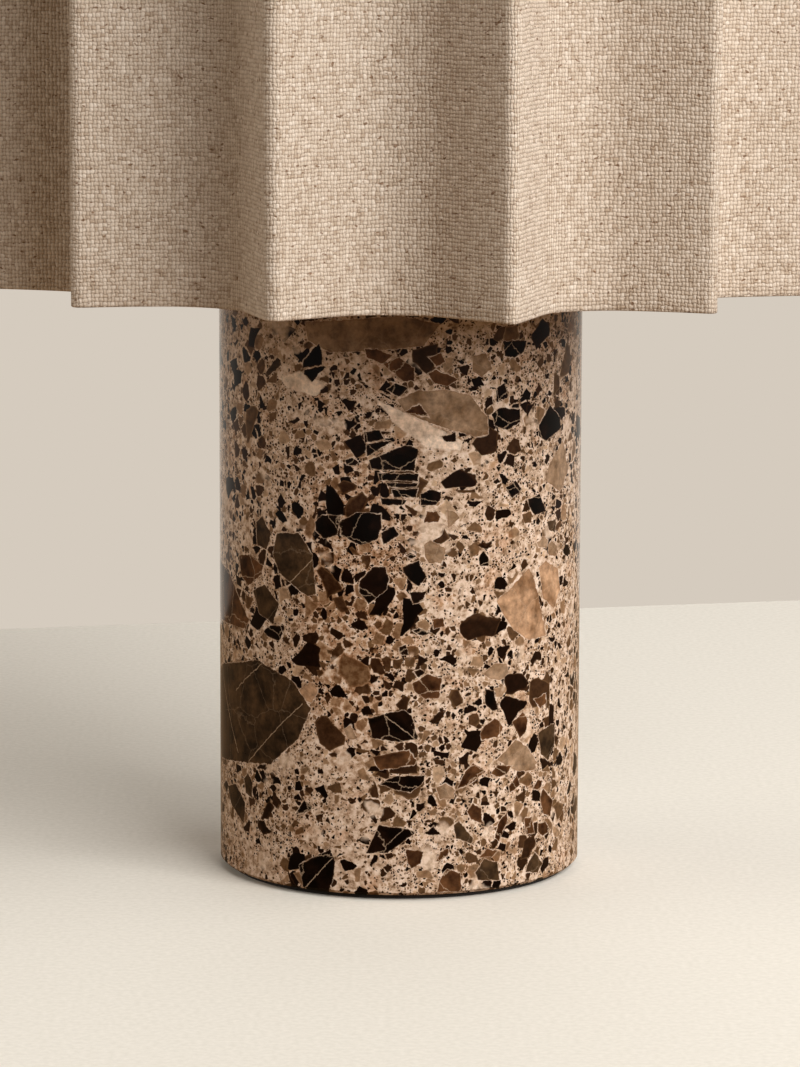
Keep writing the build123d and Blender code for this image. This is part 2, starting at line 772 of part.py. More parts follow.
# The centre contact is a strip with a raised tongue that meets the bulb's tip.
strip_end = thread_root_diameter / 2 - contact_strip_margin
with BuildPart() as centre_contact:
    with BuildSketch(Plane.XZ.offset(-contact_strip_width / 2)):
        with BuildLine():
            Polyline(
                (-strip_end, insulator_seat),
                (-strip_end / 3, insulator_seat),
                (strip_end / 6, insulator_seat + contact_lift),
                (strip_end / 2, insulator_seat + contact_lift),
                (strip_end / 2, bulb_base),
                (-strip_end / 6, bulb_base),
                (-strip_end / 2, insulator_seat + contact_strip_thickness),
                (-strip_end, insulator_seat + contact_strip_thickness),
                close=True,
            )
        make_face()
    extrude(amount=contact_strip_width)
centre_contact.part.label = "centre_contact"
export_step(centre_contact.part, "parts/centre_contact.step")

# --------------------------------------------------------------------- switch
# The bar slides through cap and insulator. At rest it stands to the left, off.
bar_half_length = holder_cap_diameter / 2 + switch_travel / 2 + switch_button_gap
bar_centre = -switch_travel / 2
with BuildPart() as switch_bar:
    with BuildSketch(Plane.YZ.offset(bar_centre - bar_half_length)):
        with Locations((0, switch_level)):
            Circle(switch_bar_diameter / 2)
    extrude(amount=2 * bar_half_length)
switch_bar.part.label = "switch_bar"
export_step(switch_bar.part, "parts/switch_bar.step")

with BuildPart() as switch_buttons:
    with BuildSketch(Plane.YZ.offset(bar_centre + bar_half_length)):
        with Locations((0, switch_level)):
            Circle(switch_button_diameter / 2)
    extrude(amount=switch_button_length)
    with BuildSketch(Plane.YZ.offset(bar_centre - bar_half_length)):
        with Locations((0, switch_level)):
            Circle(switch_button_diameter / 2)
    extrude(amount=-switch_button_length)
    fillet(
        switch_buttons.faces().sort_by(Axis.X)[-1].edges()
        + switch_buttons.faces().sort_by(Axis.X)[0].edges(),
        switch_button_edge_radius,
    )
switch_buttons.part.label = "switch_buttons"
export_step(switch_buttons.part, "parts/switch_buttons.step")

with BuildPart() as switch_bridge:
    with BuildSketch(Plane.YZ.offset(bar_centre - switch_bridge_length / 2)):
        with Locations((0, switch_level)):
            Circle(switch_bridge_diameter / 2)
            Circle(switch_bar_diameter / 2, mode=Mode.SUBTRACT)
    extrude(amount=switch_bridge_length)
switch_bridge.part.label = "switch_bridge"
export_step(switch_bridge.part, "parts/switch_bridge.step")

# Two fixed leaves stand in the cavity, one each side of the bar. The bridge
# reaches them when the bar is pushed over to the right.
leaf_start = -bar_centre + switch_bridge_length / 2 + contact_gap
leaf_inner = switch_bar_diameter / 2 + 2 * slide_gap
leaf_width = switch_cavity_width / 2 - leaf_inner
with BuildPart() as switch_leaves:
    with BuildSketch(Plane.YZ.offset(leaf_start)):
        with Locations((-leaf_inner, switch_level), (leaf_inner + leaf_width, switch_level)):
            Rectangle(leaf_width, switch_cavity_height, align=(Align.MAX, Align.CENTER))
    extrude(amount=switch_leaf_thickness)
switch_leaves.part.label = "switch_leaves"
export_step(switch_leaves.part, "parts/switch_leaves.step")

# ----------------------------------------------------------------------- bulb
with BuildPart(Plane.XY.offset(bulb_base)) as bulb_tip:
    Cylinder(
        bulb_tip_diameter / 2,
        bulb_tip_height,
        align=(Align.CENTER, Align.CENTER, Align.MIN),
    )
    fillet(bulb_tip.edges().sort_by(Axis.Z)[0], bulb_tip_edge_radius)
bulb_tip.part.label = "bulb_tip"
export_step(bulb_tip.part, "parts/bulb_tip.step")

tip_insulator_base = bulb_base + bulb_tip_height
with BuildPart(Plane.XY.offset(tip_insulator_base)) as bulb_tip_insulator:
    Cone(
        bulb_tip_diameter / 2,
        thread_root_diameter / 2 - bulb_cap_wall,
        bulb_tip_insulator_height,
        align=(Align.CENTER, Align.CENTER, Align.MIN),
    )
bulb_tip_insulator.part.label = "bulb_tip_insulator"
export_step(bulb_tip_insulator.part, "parts/bulb_tip_insulator.step")

thread_end = thread_base + thread_turns * thread_pitch
cap_band_base = thread_end + thread_flank
cap_end = cap_band_base + thread_pitch
cap_outer = thread_profile(
    thread_crest_diameter / 2,
    thread_root_diameter / 2,
    thread_base,
    thread_turns,
)
cap_inner = thread_profile(
    thread_crest_diameter / 2 - bulb_cap_wall,
    thread_root_diameter / 2 - bulb_cap_wall,
    thread_base,
    thread_turns,
)
with BuildPart() as bulb_cap:
    with BuildSketch(Plane.XZ):
        with BuildLine():
            Polyline(
                *cap_outer,
                (thread_crest_diameter / 2, cap_band_base),
                (thread_crest_diameter / 2, cap_end),
                (thread_crest_diameter / 2 - bulb_cap_wall, cap_end),
                (thread_crest_diameter / 2 - bulb_cap_wall, cap_band_base),
                *reversed(cap_inner),
                close=True,
            )
        make_face()
    revolve(axis=Axis.Z)
bulb_cap.part.label = "bulb_cap"
export_step(bulb_cap.part, "parts/bulb_cap.step")

# Pear-shaped glass: the neck leaves the cap and swells into a sphere.
globe_radius = bulb_diameter / 2
globe_centre = bulb_top - globe_radius
neck_radius = thread_crest_diameter / 2 - bulb_cap_wall - seat_gap
glass_foot = cap_band_base


def globe_half_section(radius, foot_radius, foot_level):
    """Half section of the glass: straight neck, S-shaped shoulder and round head."""
    widest = (radius, globe_centre)
    head = (0, globe_centre + radius)
    on_head = (radius * cos(radians(45)), globe_centre + radius * sin(radians(45)))
    with BuildSketch(Plane.XZ) as section:
        with BuildLine():
            rise = (globe_centre - cap_end) / 2
            Line((0, foot_level), (foot_radius, foot_level))
            Line((foot_radius, foot_level), (foot_radius, cap_end))
            Bezier(
                (foot_radius, cap_end),
                (foot_radius, cap_end + rise),
                (radius, globe_centre - rise),
                widest,
            )
            ThreePointArc(widest, on_head, head)
            Line(head, (0, foot_level))
        make_face()
    return section.sketch


with BuildPart() as bulb_glass:
    add(globe_half_section(globe_radius, neck_radius, glass_foot))
    revolve(axis=Axis.Z)
    add(
        globe_half_section(
            globe_radius - bulb_glass_wall,
            neck_radius - bulb_glass_wall,
            glass_foot + bulb_glass_wall,
        )
    )
    revolve(axis=Axis.Z, mode=Mode.SUBTRACT)
bulb_glass.part.label = "bulb_glass"
export_step(bulb_glass.part, "parts/bulb_glass.step")

stem_base = glass_foot + bulb_glass_wall
stem_top = stem_base + stem_height
with BuildPart(Plane.XY.offset(stem_base)) as bulb_stem:
    Cone(
        stem_foot_diameter / 2,
        stem_diameter / 2,
        stem_height,
        align=(Align.CENTER, Align.CENTER, Align.MIN),
    )
bulb_stem.part.label = "bulb_stem"
export_step(bulb_stem.part, "parts/bulb_stem.step")

# Light sticks stand round a middle wire and lean on a ring at each end.
filament_base = stem_top + filament_stand_off
filament_top = filament_base + filament_length
with BuildPart(Plane.XY.offset(filament_base)) as bulb_filaments:
    with PolarLocations(filament_circle_radius, filament_count):
        Cylinder(
            filament_diameter / 2,
            filament_length,
            align=(Align.CENTER, Align.CENTER, Align.MIN),
        )
bulb_filaments.part.label = "bulb_filaments"
export_step(bulb_filaments.part, "parts/bulb_filaments.step")

wire_radius = support_wire_diameter / 2
with BuildPart(Plane.XY.offset(stem_top)) as bulb_supports:
    Cylinder(
        wire_radius,
        filament_top - stem_top + support_wire_diameter,
        align=(Align.CENTER, Align.CENTER, Align.MIN),
    )
    for level in (filament_base - wire_radius, filament_top + wire_radius):
        with BuildSketch(Plane.XY.offset(level - wire_radius)):
            with PolarLocations(0, filament_count):
                Rectangle(
                    filament_circle_radius + filament_diameter / 2,
                    support_wire_diameter,
                    align=(Align.MIN, Align.CENTER),
                )
        extrude(amount=support_wire_diameter)
bulb_supports.part.label = "bulb_supports"
export_step(bulb_supports.part, "parts/bulb_supports.step")

# ---------------------------------------------------------------------- leads
# Three leads share the tube's bore, spread above it to their terminals, and
# part below it: live and neutral to the block, earth to the lug.
lead_places = []
for angle in lead_angles:
    lead_places.append(
        (lead_circle_radius * cos(radians(angle)), lead_circle_radius * sin(radians(angle)))
    )
spread_start = tube_top + lead_bend_radius / 2
spread_end = insulator_base - lead_bend_radius / 4
lead_ends = insulator_base + lead_terminal_depth - lead_gap
block_face = -block_distance + block_depth / 2


def lead(points, name):
    """A round lead swept along straight runs joined by tangent bends."""
    with BuildPart() as wire:
        with BuildLine() as route:
            FilletPolyline(*points, radius=lead_bend_radius)
        with BuildSketch(Plane(origin=points[0], z_dir=Vector(points[1]) - Vector(points[0]))):
            Circle(lead_diameter / 2)
        sweep()
    length = sum(run.length for run in route.edges())
    section = pi * (lead_diameter / 2) ** 2
    print(name, "volume over section times length", round(wire.part.volume / (section * length), 4))
    wire.part.label = name
    return wire.part


upper_runs = []
for (x, y), (end_x, end_y) in zip(lead_places, terminal_centres):
    upper_runs.append(
        [
            (x, y, spread_start),
            (end_x, end_y, spread_end),
            (end_x, end_y, lead_ends),
        ]
    )

live_lead = lead(
    [
        (-block_pole_spacing / 2, block_face - lead_terminal_depth, block_hole_level),
        (-block_pole_spacing / 2, block_face + lead_diameter, block_hole_level),
        (*lead_places[0], block_hole_level),
        *upper_runs[0],
    ],
    "live_lead",
)
export_step(live_lead, "parts/live_lead.step")

neutral_lead = lead(
    [
        (block_pole_spacing / 2, block_face - lead_terminal_depth, block_hole_level),
        (block_pole_spacing / 2, block_face + lead_diameter, block_hole_level),
        (*lead_places[1], block_hole_level),
        *upper_runs[1],
    ],
    "neutral_lead",
)
export_step(neutral_lead, "parts/neutral_lead.step")

lug_lead_level = plate_top + earth_lug_thickness + lead_diameter / 2
lug_unit = Vector(-earth_point_x, -earth_point_y, 0).normalized()
lug_start = Vector(earth_point_x, earth_point_y, lug_lead_level) + lug_unit * (
    earth_screw_head_diameter / 2 + lug_lead_gap
)
earth_lead = lead(
    [
        tuple(lug_start),
        (*lead_places[2], lug_lead_level),
        *upper_runs[2],
    ],
    "earth_lead",
)
export_step(earth_lead, "parts/earth_lead.step")

# ---------------------------------------------------------------- shade frame
# The fitter ring turns on the barrel. Three arms slope down from it to the
# lower wire ring, and struts at every other valley carry the upper one.
pleat_angle = 360 / pleat_count
first_valley_angle = first_ridge_angle + pleat_angle / 2
valley_corner = Vector(valley_diameter / 2, 0)
ridge_corner = Vector(
    ridge_diameter / 2 * cos(radians(pleat_angle / 2)),
    ridge_diameter / 2 * sin(radians(pleat_angle / 2)),
)
half_opening = atan2(ridge_corner.Y, ridge_corner.X - valley_corner.X)
valley_outer_radius = valley_diameter / 2 + valley_fold_radius * (1 / sin(half_opening) - 1)
valley_inner_radius = valley_outer_radius - cloth_thickness
wire_ring_radius = valley_inner_radius - cloth_gap - wire_diameter / 2
lower_ring_level = hem_level + ring_inset + wire_diameter / 2
upper_ring_level = shade_top - ring_inset - wire_diameter / 2

with BuildPart() as fitter_ring:
    with BuildSketch(Plane.XY.offset(flange_top)):
        Circle(fitter_ring_diameter / 2)
        Circle(barrel_radius + running_gap, mode=Mode.SUBTRACT)
    extrude(amount=fitter_ring_thickness)
fitter_ring.part.label = "fitter_ring"
export_step(fitter_ring.part, "parts/fitter_ring.step")

with BuildPart(Plane.XY.offset(lower_ring_level)) as lower_ring:
    Torus(wire_ring_radius, wire_diameter / 2)
lower_ring.part.label = "lower_ring"
export_step(lower_ring.part, "parts/lower_ring.step")

with BuildPart(Plane.XY.offset(upper_ring_level)) as upper_ring:
    Torus(wire_ring_radius, wire_diameter / 2)
upper_ring.part.label = "upper_ring"
export_step(upper_ring.part, "parts/upper_ring.step")

arm_foot_radius = fitter_ring_diameter / 2 - arm_foot_inset
arm_start_level = flange_top + fitter_ring_thickness / 2
with BuildPart() as fitter_arms:
    for index in range(arm_count):
        turn = radians(first_valley_angle + pleat_angle + index * 360 / arm_count)
        start = Vector(arm_foot_radius * cos(turn), arm_foot_radius * sin(turn), arm_start_level)
        end = Vector(wire_ring_radius * cos(turn), wire_ring_radius * sin(turn), lower_ring_level)
        with BuildSketch(Plane(origin=start, z_dir=end - start)):
            Circle(arm_diameter / 2)
        extrude(amount=(end - start).length)
    add(lower_ring.part, mode=Mode.SUBTRACT)
    add(fitter_ring.part, mode=Mode.SUBTRACT)
fitter_arms.part.label = "fitter_arms"
export_step(fitter_arms.part, "parts/fitter_arms.step")

with BuildPart() as frame_struts:
    with BuildSketch(Plane.XY.offset(lower_ring_level)):
        with PolarLocations(wire_ring_radius, strut_count, first_valley_angle):
            Circle(strut_diameter / 2)
    extrude(amount=upper_ring_level - lower_ring_level)
    add(lower_ring.part, mode=Mode.SUBTRACT)
    add(upper_ring.part, mode=Mode.SUBTRACT)
frame_struts.part.label = "frame_struts"
export_step(frame_struts.part, "parts/frame_struts.step")

# ---------------------------------------------------------------- linen shade
# One cloth tube, folded outwards to crisp ridges and curving softly through its
# valleys, open at both ends. The cloth's inner face runs beside the outer one, so
# each of its corners is moved along its own radius.
ridge_corner_shift = cloth_thickness / sin(half_opening - radians(pleat_angle / 2))
valley_corner_shift = cloth_thickness / sin(half_opening)


def pleated_outline(ridge_radius, valley_radius, ridge_fold, valley_fold):
    """A star of pleats on the plane of the hem, its corners rounded."""
    corners = []
    for index in range(pleat_count):
        ridge = radians(first_ridge_angle + index * pleat_angle)
        valley = radians(first_valley_angle + index * pleat_angle)
        corners.append((ridge_radius * cos(ridge), ridge_radius * sin(ridge)))
        corners.append((valley_radius * cos(valley), valley_radius * sin(valley)))
    with BuildSketch(Plane.XY.offset(hem_level)) as outline:
        with BuildLine():
            Polyline(*corners, close=True)
        make_face()
        valleys = outline.vertices().sort_by_distance((0, 0, 0))[:pleat_count]
        fillet(valleys, valley_fold)
        ridges = outline.vertices().sort_by_distance((0, 0, 0))[-pleat_count:]
        fillet(ridges, ridge_fold)
    return outline.sketch


with BuildPart() as shade_cloth:
    add(
        pleated_outline(
            ridge_diameter / 2,
            valley_diameter / 2,
            ridge_fold_radius,
            valley_fold_radius,
        )
    )
    extrude(amount=shade_height)
    add(
        pleated_outline(
            ridge_diameter / 2 - ridge_corner_shift,
            valley_diameter / 2 - valley_corner_shift,
            ridge_fold_radius - cloth_thickness,
            valley_fold_radius + cloth_thickness,
        )
    )
    extrude(amount=shade_height, mode=Mode.SUBTRACT)
shade_cloth.part.label = "shade_cloth"
export_step(shade_cloth.part, "parts/shade_cloth.step")
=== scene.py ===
# %% [markdown]
# # Column table lamp
# A polished breccia column carries a pleated linen shade on a wire frame, over a
# lampholder with a filament bulb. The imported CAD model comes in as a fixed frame: its
# metal, stone and plastic pieces keep their shape and get their finish here, and the
# shade's cloth, which the CAD holds as a plain folded solid, is sewn anew.

# %% the frame
import json
from math import atan2, cos, pi, radians, sin, tan

import bpy
import numpy as np
from mathutils import Matrix, Vector


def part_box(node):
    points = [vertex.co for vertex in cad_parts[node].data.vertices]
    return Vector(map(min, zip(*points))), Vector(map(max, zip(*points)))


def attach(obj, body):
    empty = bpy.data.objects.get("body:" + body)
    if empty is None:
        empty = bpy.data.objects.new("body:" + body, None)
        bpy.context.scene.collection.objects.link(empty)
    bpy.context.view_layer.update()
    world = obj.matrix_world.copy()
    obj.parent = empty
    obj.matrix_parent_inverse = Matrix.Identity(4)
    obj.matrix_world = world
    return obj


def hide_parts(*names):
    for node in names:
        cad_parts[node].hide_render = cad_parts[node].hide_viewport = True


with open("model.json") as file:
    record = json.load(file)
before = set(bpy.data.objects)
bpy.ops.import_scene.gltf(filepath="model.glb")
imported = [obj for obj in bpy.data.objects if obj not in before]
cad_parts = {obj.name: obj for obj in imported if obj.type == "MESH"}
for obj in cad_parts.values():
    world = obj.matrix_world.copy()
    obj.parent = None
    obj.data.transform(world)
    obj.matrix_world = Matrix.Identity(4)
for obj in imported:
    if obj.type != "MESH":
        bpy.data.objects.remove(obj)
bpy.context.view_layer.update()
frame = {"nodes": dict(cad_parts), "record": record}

# %% [markdown]
# The photograph looks a little down on the lamp from about 1.2 m in front of it. That
# distance is what makes twelve equal pleats fall on one circle in the picture, so the
# camera is set out from it: how high it stands, how far it looks down, and the long
# focal length that fills the picture with the column and the hem.

# %% camera
photo_width, photo_height = 800, 1067
focal_length_px = 4375.9
sensor_width_mm = 36.0
camera_place = Vector((0.0, -1.2, 0.2802))
camera_pitch = radians(8.889)
camera_roll = radians(0.174)


def camera_axes(pitch, roll):
    """Right, up and forward: level with the table, then tipped down, then rolled."""
    forward = Vector((0, cos(pitch), -sin(pitch)))
    level_right = Vector((1, 0, 0))
    level_up = level_right.cross(forward)
    right = cos(roll) * level_right + sin(roll) * level_up
    up = cos(roll) * level_up - sin(roll) * level_right
    return right, up, forward


right, up, forward = camera_axes(camera_pitch, camera_roll)
camera_data = bpy.data.cameras.new("photo_camera")
camera_data.sensor_width = sensor_width_mm
camera_data.lens = focal_length_px * sensor_width_mm / max(photo_width, photo_height)
camera = bpy.data.objects.new("photo_camera", camera_data)
bpy.context.scene.collection.objects.link(camera)
turn = Matrix((right, up, -forward)).transposed().to_4x4()
camera.matrix_world = Matrix.Translation(camera_place) @ turn
bpy.context.scene.camera = camera
print("lens", round(camera_data.lens, 1), "mm")

# %% [markdown]
# Materials are made of nodes, and wiring them one line at a time hides what they do. So
# small helpers do the wiring. The first adds any node with its settings and inputs, and
# the others name the few kinds of node that every finish here is made of.

# %% helpers for single nodes
def put(tree, kind, inputs=(), **settings):
    """Adds a node. An input is a value or a node's output, by the socket's name or place."""
    node = tree.nodes.new(kind)
    for name, value in settings.items():
        setattr(node, name, value)
    for socket, value in dict(inputs).items():
        if isinstance(value, bpy.types.NodeSocket):
            tree.links.new(value, node.inputs[socket])
        else:
            node.inputs[socket].default_value = value
    return node


def sum_of(tree, operation, a, b=0.0, c=0.0, clamp=False):
    """The output of one Math node."""
    node = put(tree, "ShaderNodeMath", {0: a, 1: b, 2: c}, operation=operation, use_clamp=clamp)
    return node.outputs[0]


def together(tree, operation, values):
    """Several values by one operation, such as the least of them by MINIMUM."""
    result = values[0]
    for value in values[1:]:
        result = sum_of(tree, operation, result, value)
    return result


def vector_of(tree, operation, a, b=(0, 0, 0), scale=1.0):
    """The output of one Vector Math node: a number for a dot product or length, else a vector."""
    node = put(tree, "ShaderNodeVectorMath", {0: a, 1: b, 3: scale}, operation=operation)
    return node.outputs["Value" if operation in ("DOT_PRODUCT", "LENGTH") else "Vector"]


def scaled(tree, vector, scale):
    """A vector made longer or shorter."""
    return vector_of(tree, "SCALE", vector, scale=scale)


def centred(tree, colour):
    """A noise's colour, whose parts go from 0 to 1, as a vector round zero."""
    return vector_of(tree, "SUBTRACT", colour, (0.5, 0.5, 0.5))


def vector_from(tree, x, y, z=0.0):
    """Three values as one vector."""
    return put(tree, "ShaderNodeCombineXYZ", {0: x, 1: y, 2: z}).outputs[0]


def grey(tree, value):
    """One value as a colour."""
    return vector_from(tree, value, value, value)


def parts_of(tree, vector):
    """A vector's X, Y and Z."""
    return put(tree, "ShaderNodeSeparateXYZ", {0: vector}).outputs


def blend(tree, share, a, b, way="MIX"):
    """Colour a going over to colour b by the share."""
    inputs = {"Factor": share, 6: a, 7: b}
    node = put(tree, "ShaderNodeMix", inputs, data_type="RGBA", blend_type=way)
    return node.outputs[2]


def step(tree, value, start, end, low=0.0, high=1.0, way="SMOOTHSTEP"):
    """A soft step from low to high while the value goes from start to end."""
    inputs = {"Value": value, 1: start, 2: end, 3: low, 4: high}
    return put(tree, "ShaderNodeMapRange", inputs, interpolation_type=way).outputs[0]


def noise(tree, vector, scale, detail=2.0, roughness=0.5):
    """A Noise Texture: its value, from 0 to 1, and its colour, as three such values."""
    inputs = {"Vector": vector, "Scale": scale, "Detail": detail, "Roughness": roughness}
    node = put(tree, "ShaderNodeTexNoise", inputs)
    return node.outputs["Fac"], node.outputs["Color"]


def cells(tree, vector, scale, feature):
    """A Voronoi Texture: space cut into cells, each round a scattered point of its own."""
    return put(tree, "ShaderNodeTexVoronoi", {"Vector": vector, "Scale": scale}, feature=feature)


def ramp(tree, value, stops):
    """A Color Ramp through (place, colour) stops."""
    node = put(tree, "ShaderNodeValToRGB", {"Fac": value})
    elements = node.color_ramp.elements
    elements.remove(elements[1])
    elements[0].position, elements[0].color = stops[0][0], (*stops[0][1], 1)
    for place, colour in stops[1:]:
        elements.new(place).color = (*colour, 1)
    return node.outputs["Color"]


# %% [markdown]
# An effect that several finishes share is a node group: a small tree that works as one
# node with named sockets. A finish is a material whose constants sit on the shader's own
# sockets, and whose wandering colours, polish and relief come from such groups. Both think
# in millimetres of the object itself, so a pattern stays put when a piece moves.

# %% helpers for groups, materials and colours
def new_group(name, inputs, outputs):
    """An empty node group. Sockets are (name, kind) pairs, and an input may add a default."""
    group = bpy.data.node_groups.new(name, "ShaderNodeTree")
    kinds = {"value": "NodeSocketFloat", "vector": "NodeSocketVector"}
    for socket, kind, *default in inputs:
        made = group.interface.new_socket(socket, in_out="INPUT", socket_type=kinds[kind])
        if default:
            made.default_value = default[0]
    for socket, kind in outputs:
        group.interface.new_socket(socket, in_out="OUTPUT", socket_type=kinds[kind])
    given = group.nodes.new("NodeGroupInput").outputs
    gives = group.nodes.new("NodeGroupOutput").inputs
    return group, given, gives


def place_group(tree, group, **inputs):
    """Puts a node group in a tree and feeds its inputs, values or other nodes' outputs."""
    return put(tree, "ShaderNodeGroup", inputs, node_tree=group).outputs


def new_material(name, **constants):
    """A material with one Principled BSDF. In the constants' names underscores are spaces."""
    material = bpy.data.materials.new(name)
    material.use_nodes = True
    tree = material.node_tree
    shader = tree.nodes["Principled BSDF"]
    for socket, value in constants.items():
        shader.inputs[socket.replace("_", " ")].default_value = value
    return material, tree, shader


def object_millimetres(tree):
    """Object coordinates in millimetres, the unit that stones and threads are thought of in."""
    return scaled(tree, put(tree, "ShaderNodeTexCoord").outputs["Object"], 1000.0)


def feed(tree, shader, **sources):
    """Links outputs to the shader's sockets, such as Base_Color, Roughness or Normal."""
    for socket, source in sources.items():
        tree.links.new(source, shader.inputs[socket.replace("_", " ")])


def tone(red, green, blue):
    """A colour as on a screen, 0 to 255, as the linear colour that Blender counts in."""
    screen = np.array([red, green, blue]) / 255
    linear = np.where(screen > 0.04045, ((screen + 0.055) / 1.055) ** 2.4, screen / 12.92)
    return tuple(float(value) for value in linear)


def opaque(red, green, blue):
    """The same colour with its opacity, as a Mix node's socket takes it."""
    return (*tone(red, green, blue), 1)


print("a middle grey of the screen is", round(tone(128, 128, 128)[0], 3), "in linear light")


# %% [markdown]
# The shade is one long strip of linen, folded into twelve pleats that stand out from the
# wire rings. From above, each half pleat is three plain curves: a tight arc over the
# ridge, a flat panel, and a wide arc through the valley. Written as a function of the
# distance along the cloth, they give the place and the outward direction at every thread.

# %% the line of the pleats, seen from above
pleat_count = 12
first_ridge_angle = radians(13.9)
ridge_corner_radius = 0.1195
valley_corner_radius = 0.0860
ridge_fold_radius = 0.003
valley_fold_radius = 0.018

half_pleat_angle = pi / pleat_count
panel_run = valley_corner_radius * cos(half_pleat_angle) - ridge_corner_radius
panel_rise = valley_corner_radius * sin(half_pleat_angle)
panel_length = float(np.hypot(panel_run, panel_rise))
ridge_half_opening = atan2(panel_rise, -panel_run)
valley_half_opening = ridge_half_opening + half_pleat_angle
panel_facing = pi / 2 - ridge_half_opening
ridge_arc = ridge_fold_radius * panel_facing
valley_arc = valley_fold_radius * (panel_facing - half_pleat_angle)
flat_panel = (
    panel_length
    - ridge_fold_radius / tan(ridge_half_opening)
    - valley_fold_radius / tan(valley_half_opening)
)
half_pleat_length = ridge_arc + flat_panel + valley_arc
cloth_round = 2 * pleat_count * half_pleat_length
print("half a pleat", round(half_pleat_length * 1000, 1), "mm")
print("all round", round(cloth_round, 3), "m")


def half_pleat(along):
    """Place and facing along half a pleat, from the ridge at angle 0 to the valley.

    Over the ridge the facing turns evenly from 0 to the panel's, on a circle of the ridge
    fold. The panel keeps its facing and moves at right angles to it. Through the valley the
    facing turns back to the valley's angle, on a circle that lies outside the cloth.
    """
    ridge_centre = ridge_corner_radius - ridge_fold_radius / sin(ridge_half_opening)
    valley_centre = valley_corner_radius + valley_fold_radius / sin(valley_half_opening)
    over_ridge = np.clip(along, 0, ridge_arc)
    on_panel = np.clip(along - ridge_arc, 0, flat_panel)
    in_valley = np.clip(along - ridge_arc - flat_panel, 0, valley_arc)
    facing = over_ridge / ridge_fold_radius - in_valley / valley_fold_radius
    normal = np.stack([np.cos(facing), np.sin(facing)], axis=-1)
    panel_direction = np.array([-sin(panel_facing), cos(panel_facing)])
    ridge_part = np.array([ridge_centre, 0]) + ridge_fold_radius * normal
    valley_middle = valley_centre * np.array([cos(half_pleat_angle), sin(half_pleat_angle)])
    valley_part = valley_middle - valley_fold_radius * normal
    panel_part = ridge_part + on_panel[..., None] * panel_direction
    place = np.where((in_valley > 0)[..., None], valley_part, panel_part)
    return place, normal


def pleated_line(along):
    """Place and facing anywhere round: half pleats, mirrored and turned about the axis."""
    half_index = np.floor(along / half_pleat_length).astype(int)
    rest = along - half_index * half_pleat_length
    mirrored = half_index % 2 == 1
    place, normal = half_pleat(np.where(mirrored, half_pleat_length - rest, rest))
    ridge = (half_index + 1) // 2
    angle = first_ridge_angle + ridge * 2 * half_pleat_angle
    side = np.where(mirrored, -1.0, 1.0)

    def turned(v):
        x, y = v[..., 0], v[..., 1] * side
        turned_x = x * np.cos(angle) - y * np.sin(angle)
        turned_y = x * np.sin(angle) + y * np.cos(angle)
        return np.stack([turned_x, turned_y], -1)

    return turned(place), turned(normal)


# %% [markdown]
# Going up the cloth, the strip starts inside the shade, runs down to the hem, folds round
# it and climbs the outside to the top, where it is turned in again. Those two turned edges
# make the hem double, so it reads thicker than the panels and its lower edge is round.

# %% the line of the cloth, seen from the side
shade_low, shade_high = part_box("shade_cloth")
hem_level, top_level = shade_low.z, shade_high.z
linen_thickness = 0.00045
turned_fold_radius = 0.00026
turned_in = 0.012
outer_layer = linen_thickness / 2
fold_arc = pi * turned_fold_radius
outside_height = top_level - hem_level - linen_thickness - 2 * turned_fold_radius
cloth_height = 2 * turned_in + 2 * fold_arc + outside_height
outside_start = turned_in + fold_arc
outside_end = outside_start + outside_height
print("cloth cut to", round(cloth_round, 3), "by", round(cloth_height, 3), "m")


def cloth_profile(up_cloth):
    """Depth behind the outer face, and height, for a distance up the cloth.

    Down the inside, half a turn round the hem, up the outside, half a turn round the top and
    down the inside again: each stretch is a clipped length, so the five simply add up.
    """
    down = np.clip(up_cloth, 0, turned_in)
    hem_turn = np.clip(up_cloth - turned_in, 0, fold_arc) / turned_fold_radius
    climb = np.clip(up_cloth - outside_start, 0, outside_height)
    top_turn = np.clip(up_cloth - outside_end, 0, fold_arc) / turned_fold_radius
    back_down = np.clip(up_cloth - outside_end - fold_arc, 0, turned_in)
    depth = outer_layer + turned_fold_radius * (2 + np.cos(hem_turn) - np.cos(top_turn))
    turns = turned_fold_radius * (1 + np.sin(top_turn) - np.sin(hem_turn))
    height = hem_level + outer_layer + turned_in + turns - down + climb - back_down
    return depth, height


# %% [markdown]
# Linen is never quite regular: a pleat leans a little, the hem runs a little out of level.
# A physics run could give that, but a few slow sine waves with seeded phases do it as well
# and never change.

# %% helpers for the cloth
wave_turns = (2, 3, 5, 9, 14, 23)
steepest_wave = 1.5
usual_peak = 3


def slow_waves(along, up_cloth, seed, amount):
    """A sum of sine waves round and up the cloth, each with whole turns round it."""
    draw = np.random.default_rng(seed)
    total = np.zeros(np.broadcast(along, up_cloth).shape)
    for turns in wave_turns:
        phase, rise = draw.uniform(0, 2 * pi), draw.uniform(-steepest_wave, steepest_wave)
        wave_place = turns * along / cloth_round + rise * up_cloth / cloth_height
        total = total + np.sin(2 * pi * wave_place + phase)
    return amount * total / usual_peak


def stretch(start, length, count):
    """Even steps along one stretch, without its far end."""
    return start + length * np.arange(count) / count


def grid_faces(rows, columns):
    """Quads of a grid whose last column meets its first: corner numbers, row by row."""
    row, column = np.meshgrid(np.arange(rows - 1), np.arange(columns), indexing="ij")
    beside = (column + 1) % columns
    here, above = row * columns, (row + 1) * columns
    corners = [here + column, here + beside, above + beside, above + column]
    return np.stack(corners, axis=-1).reshape(-1, 4)


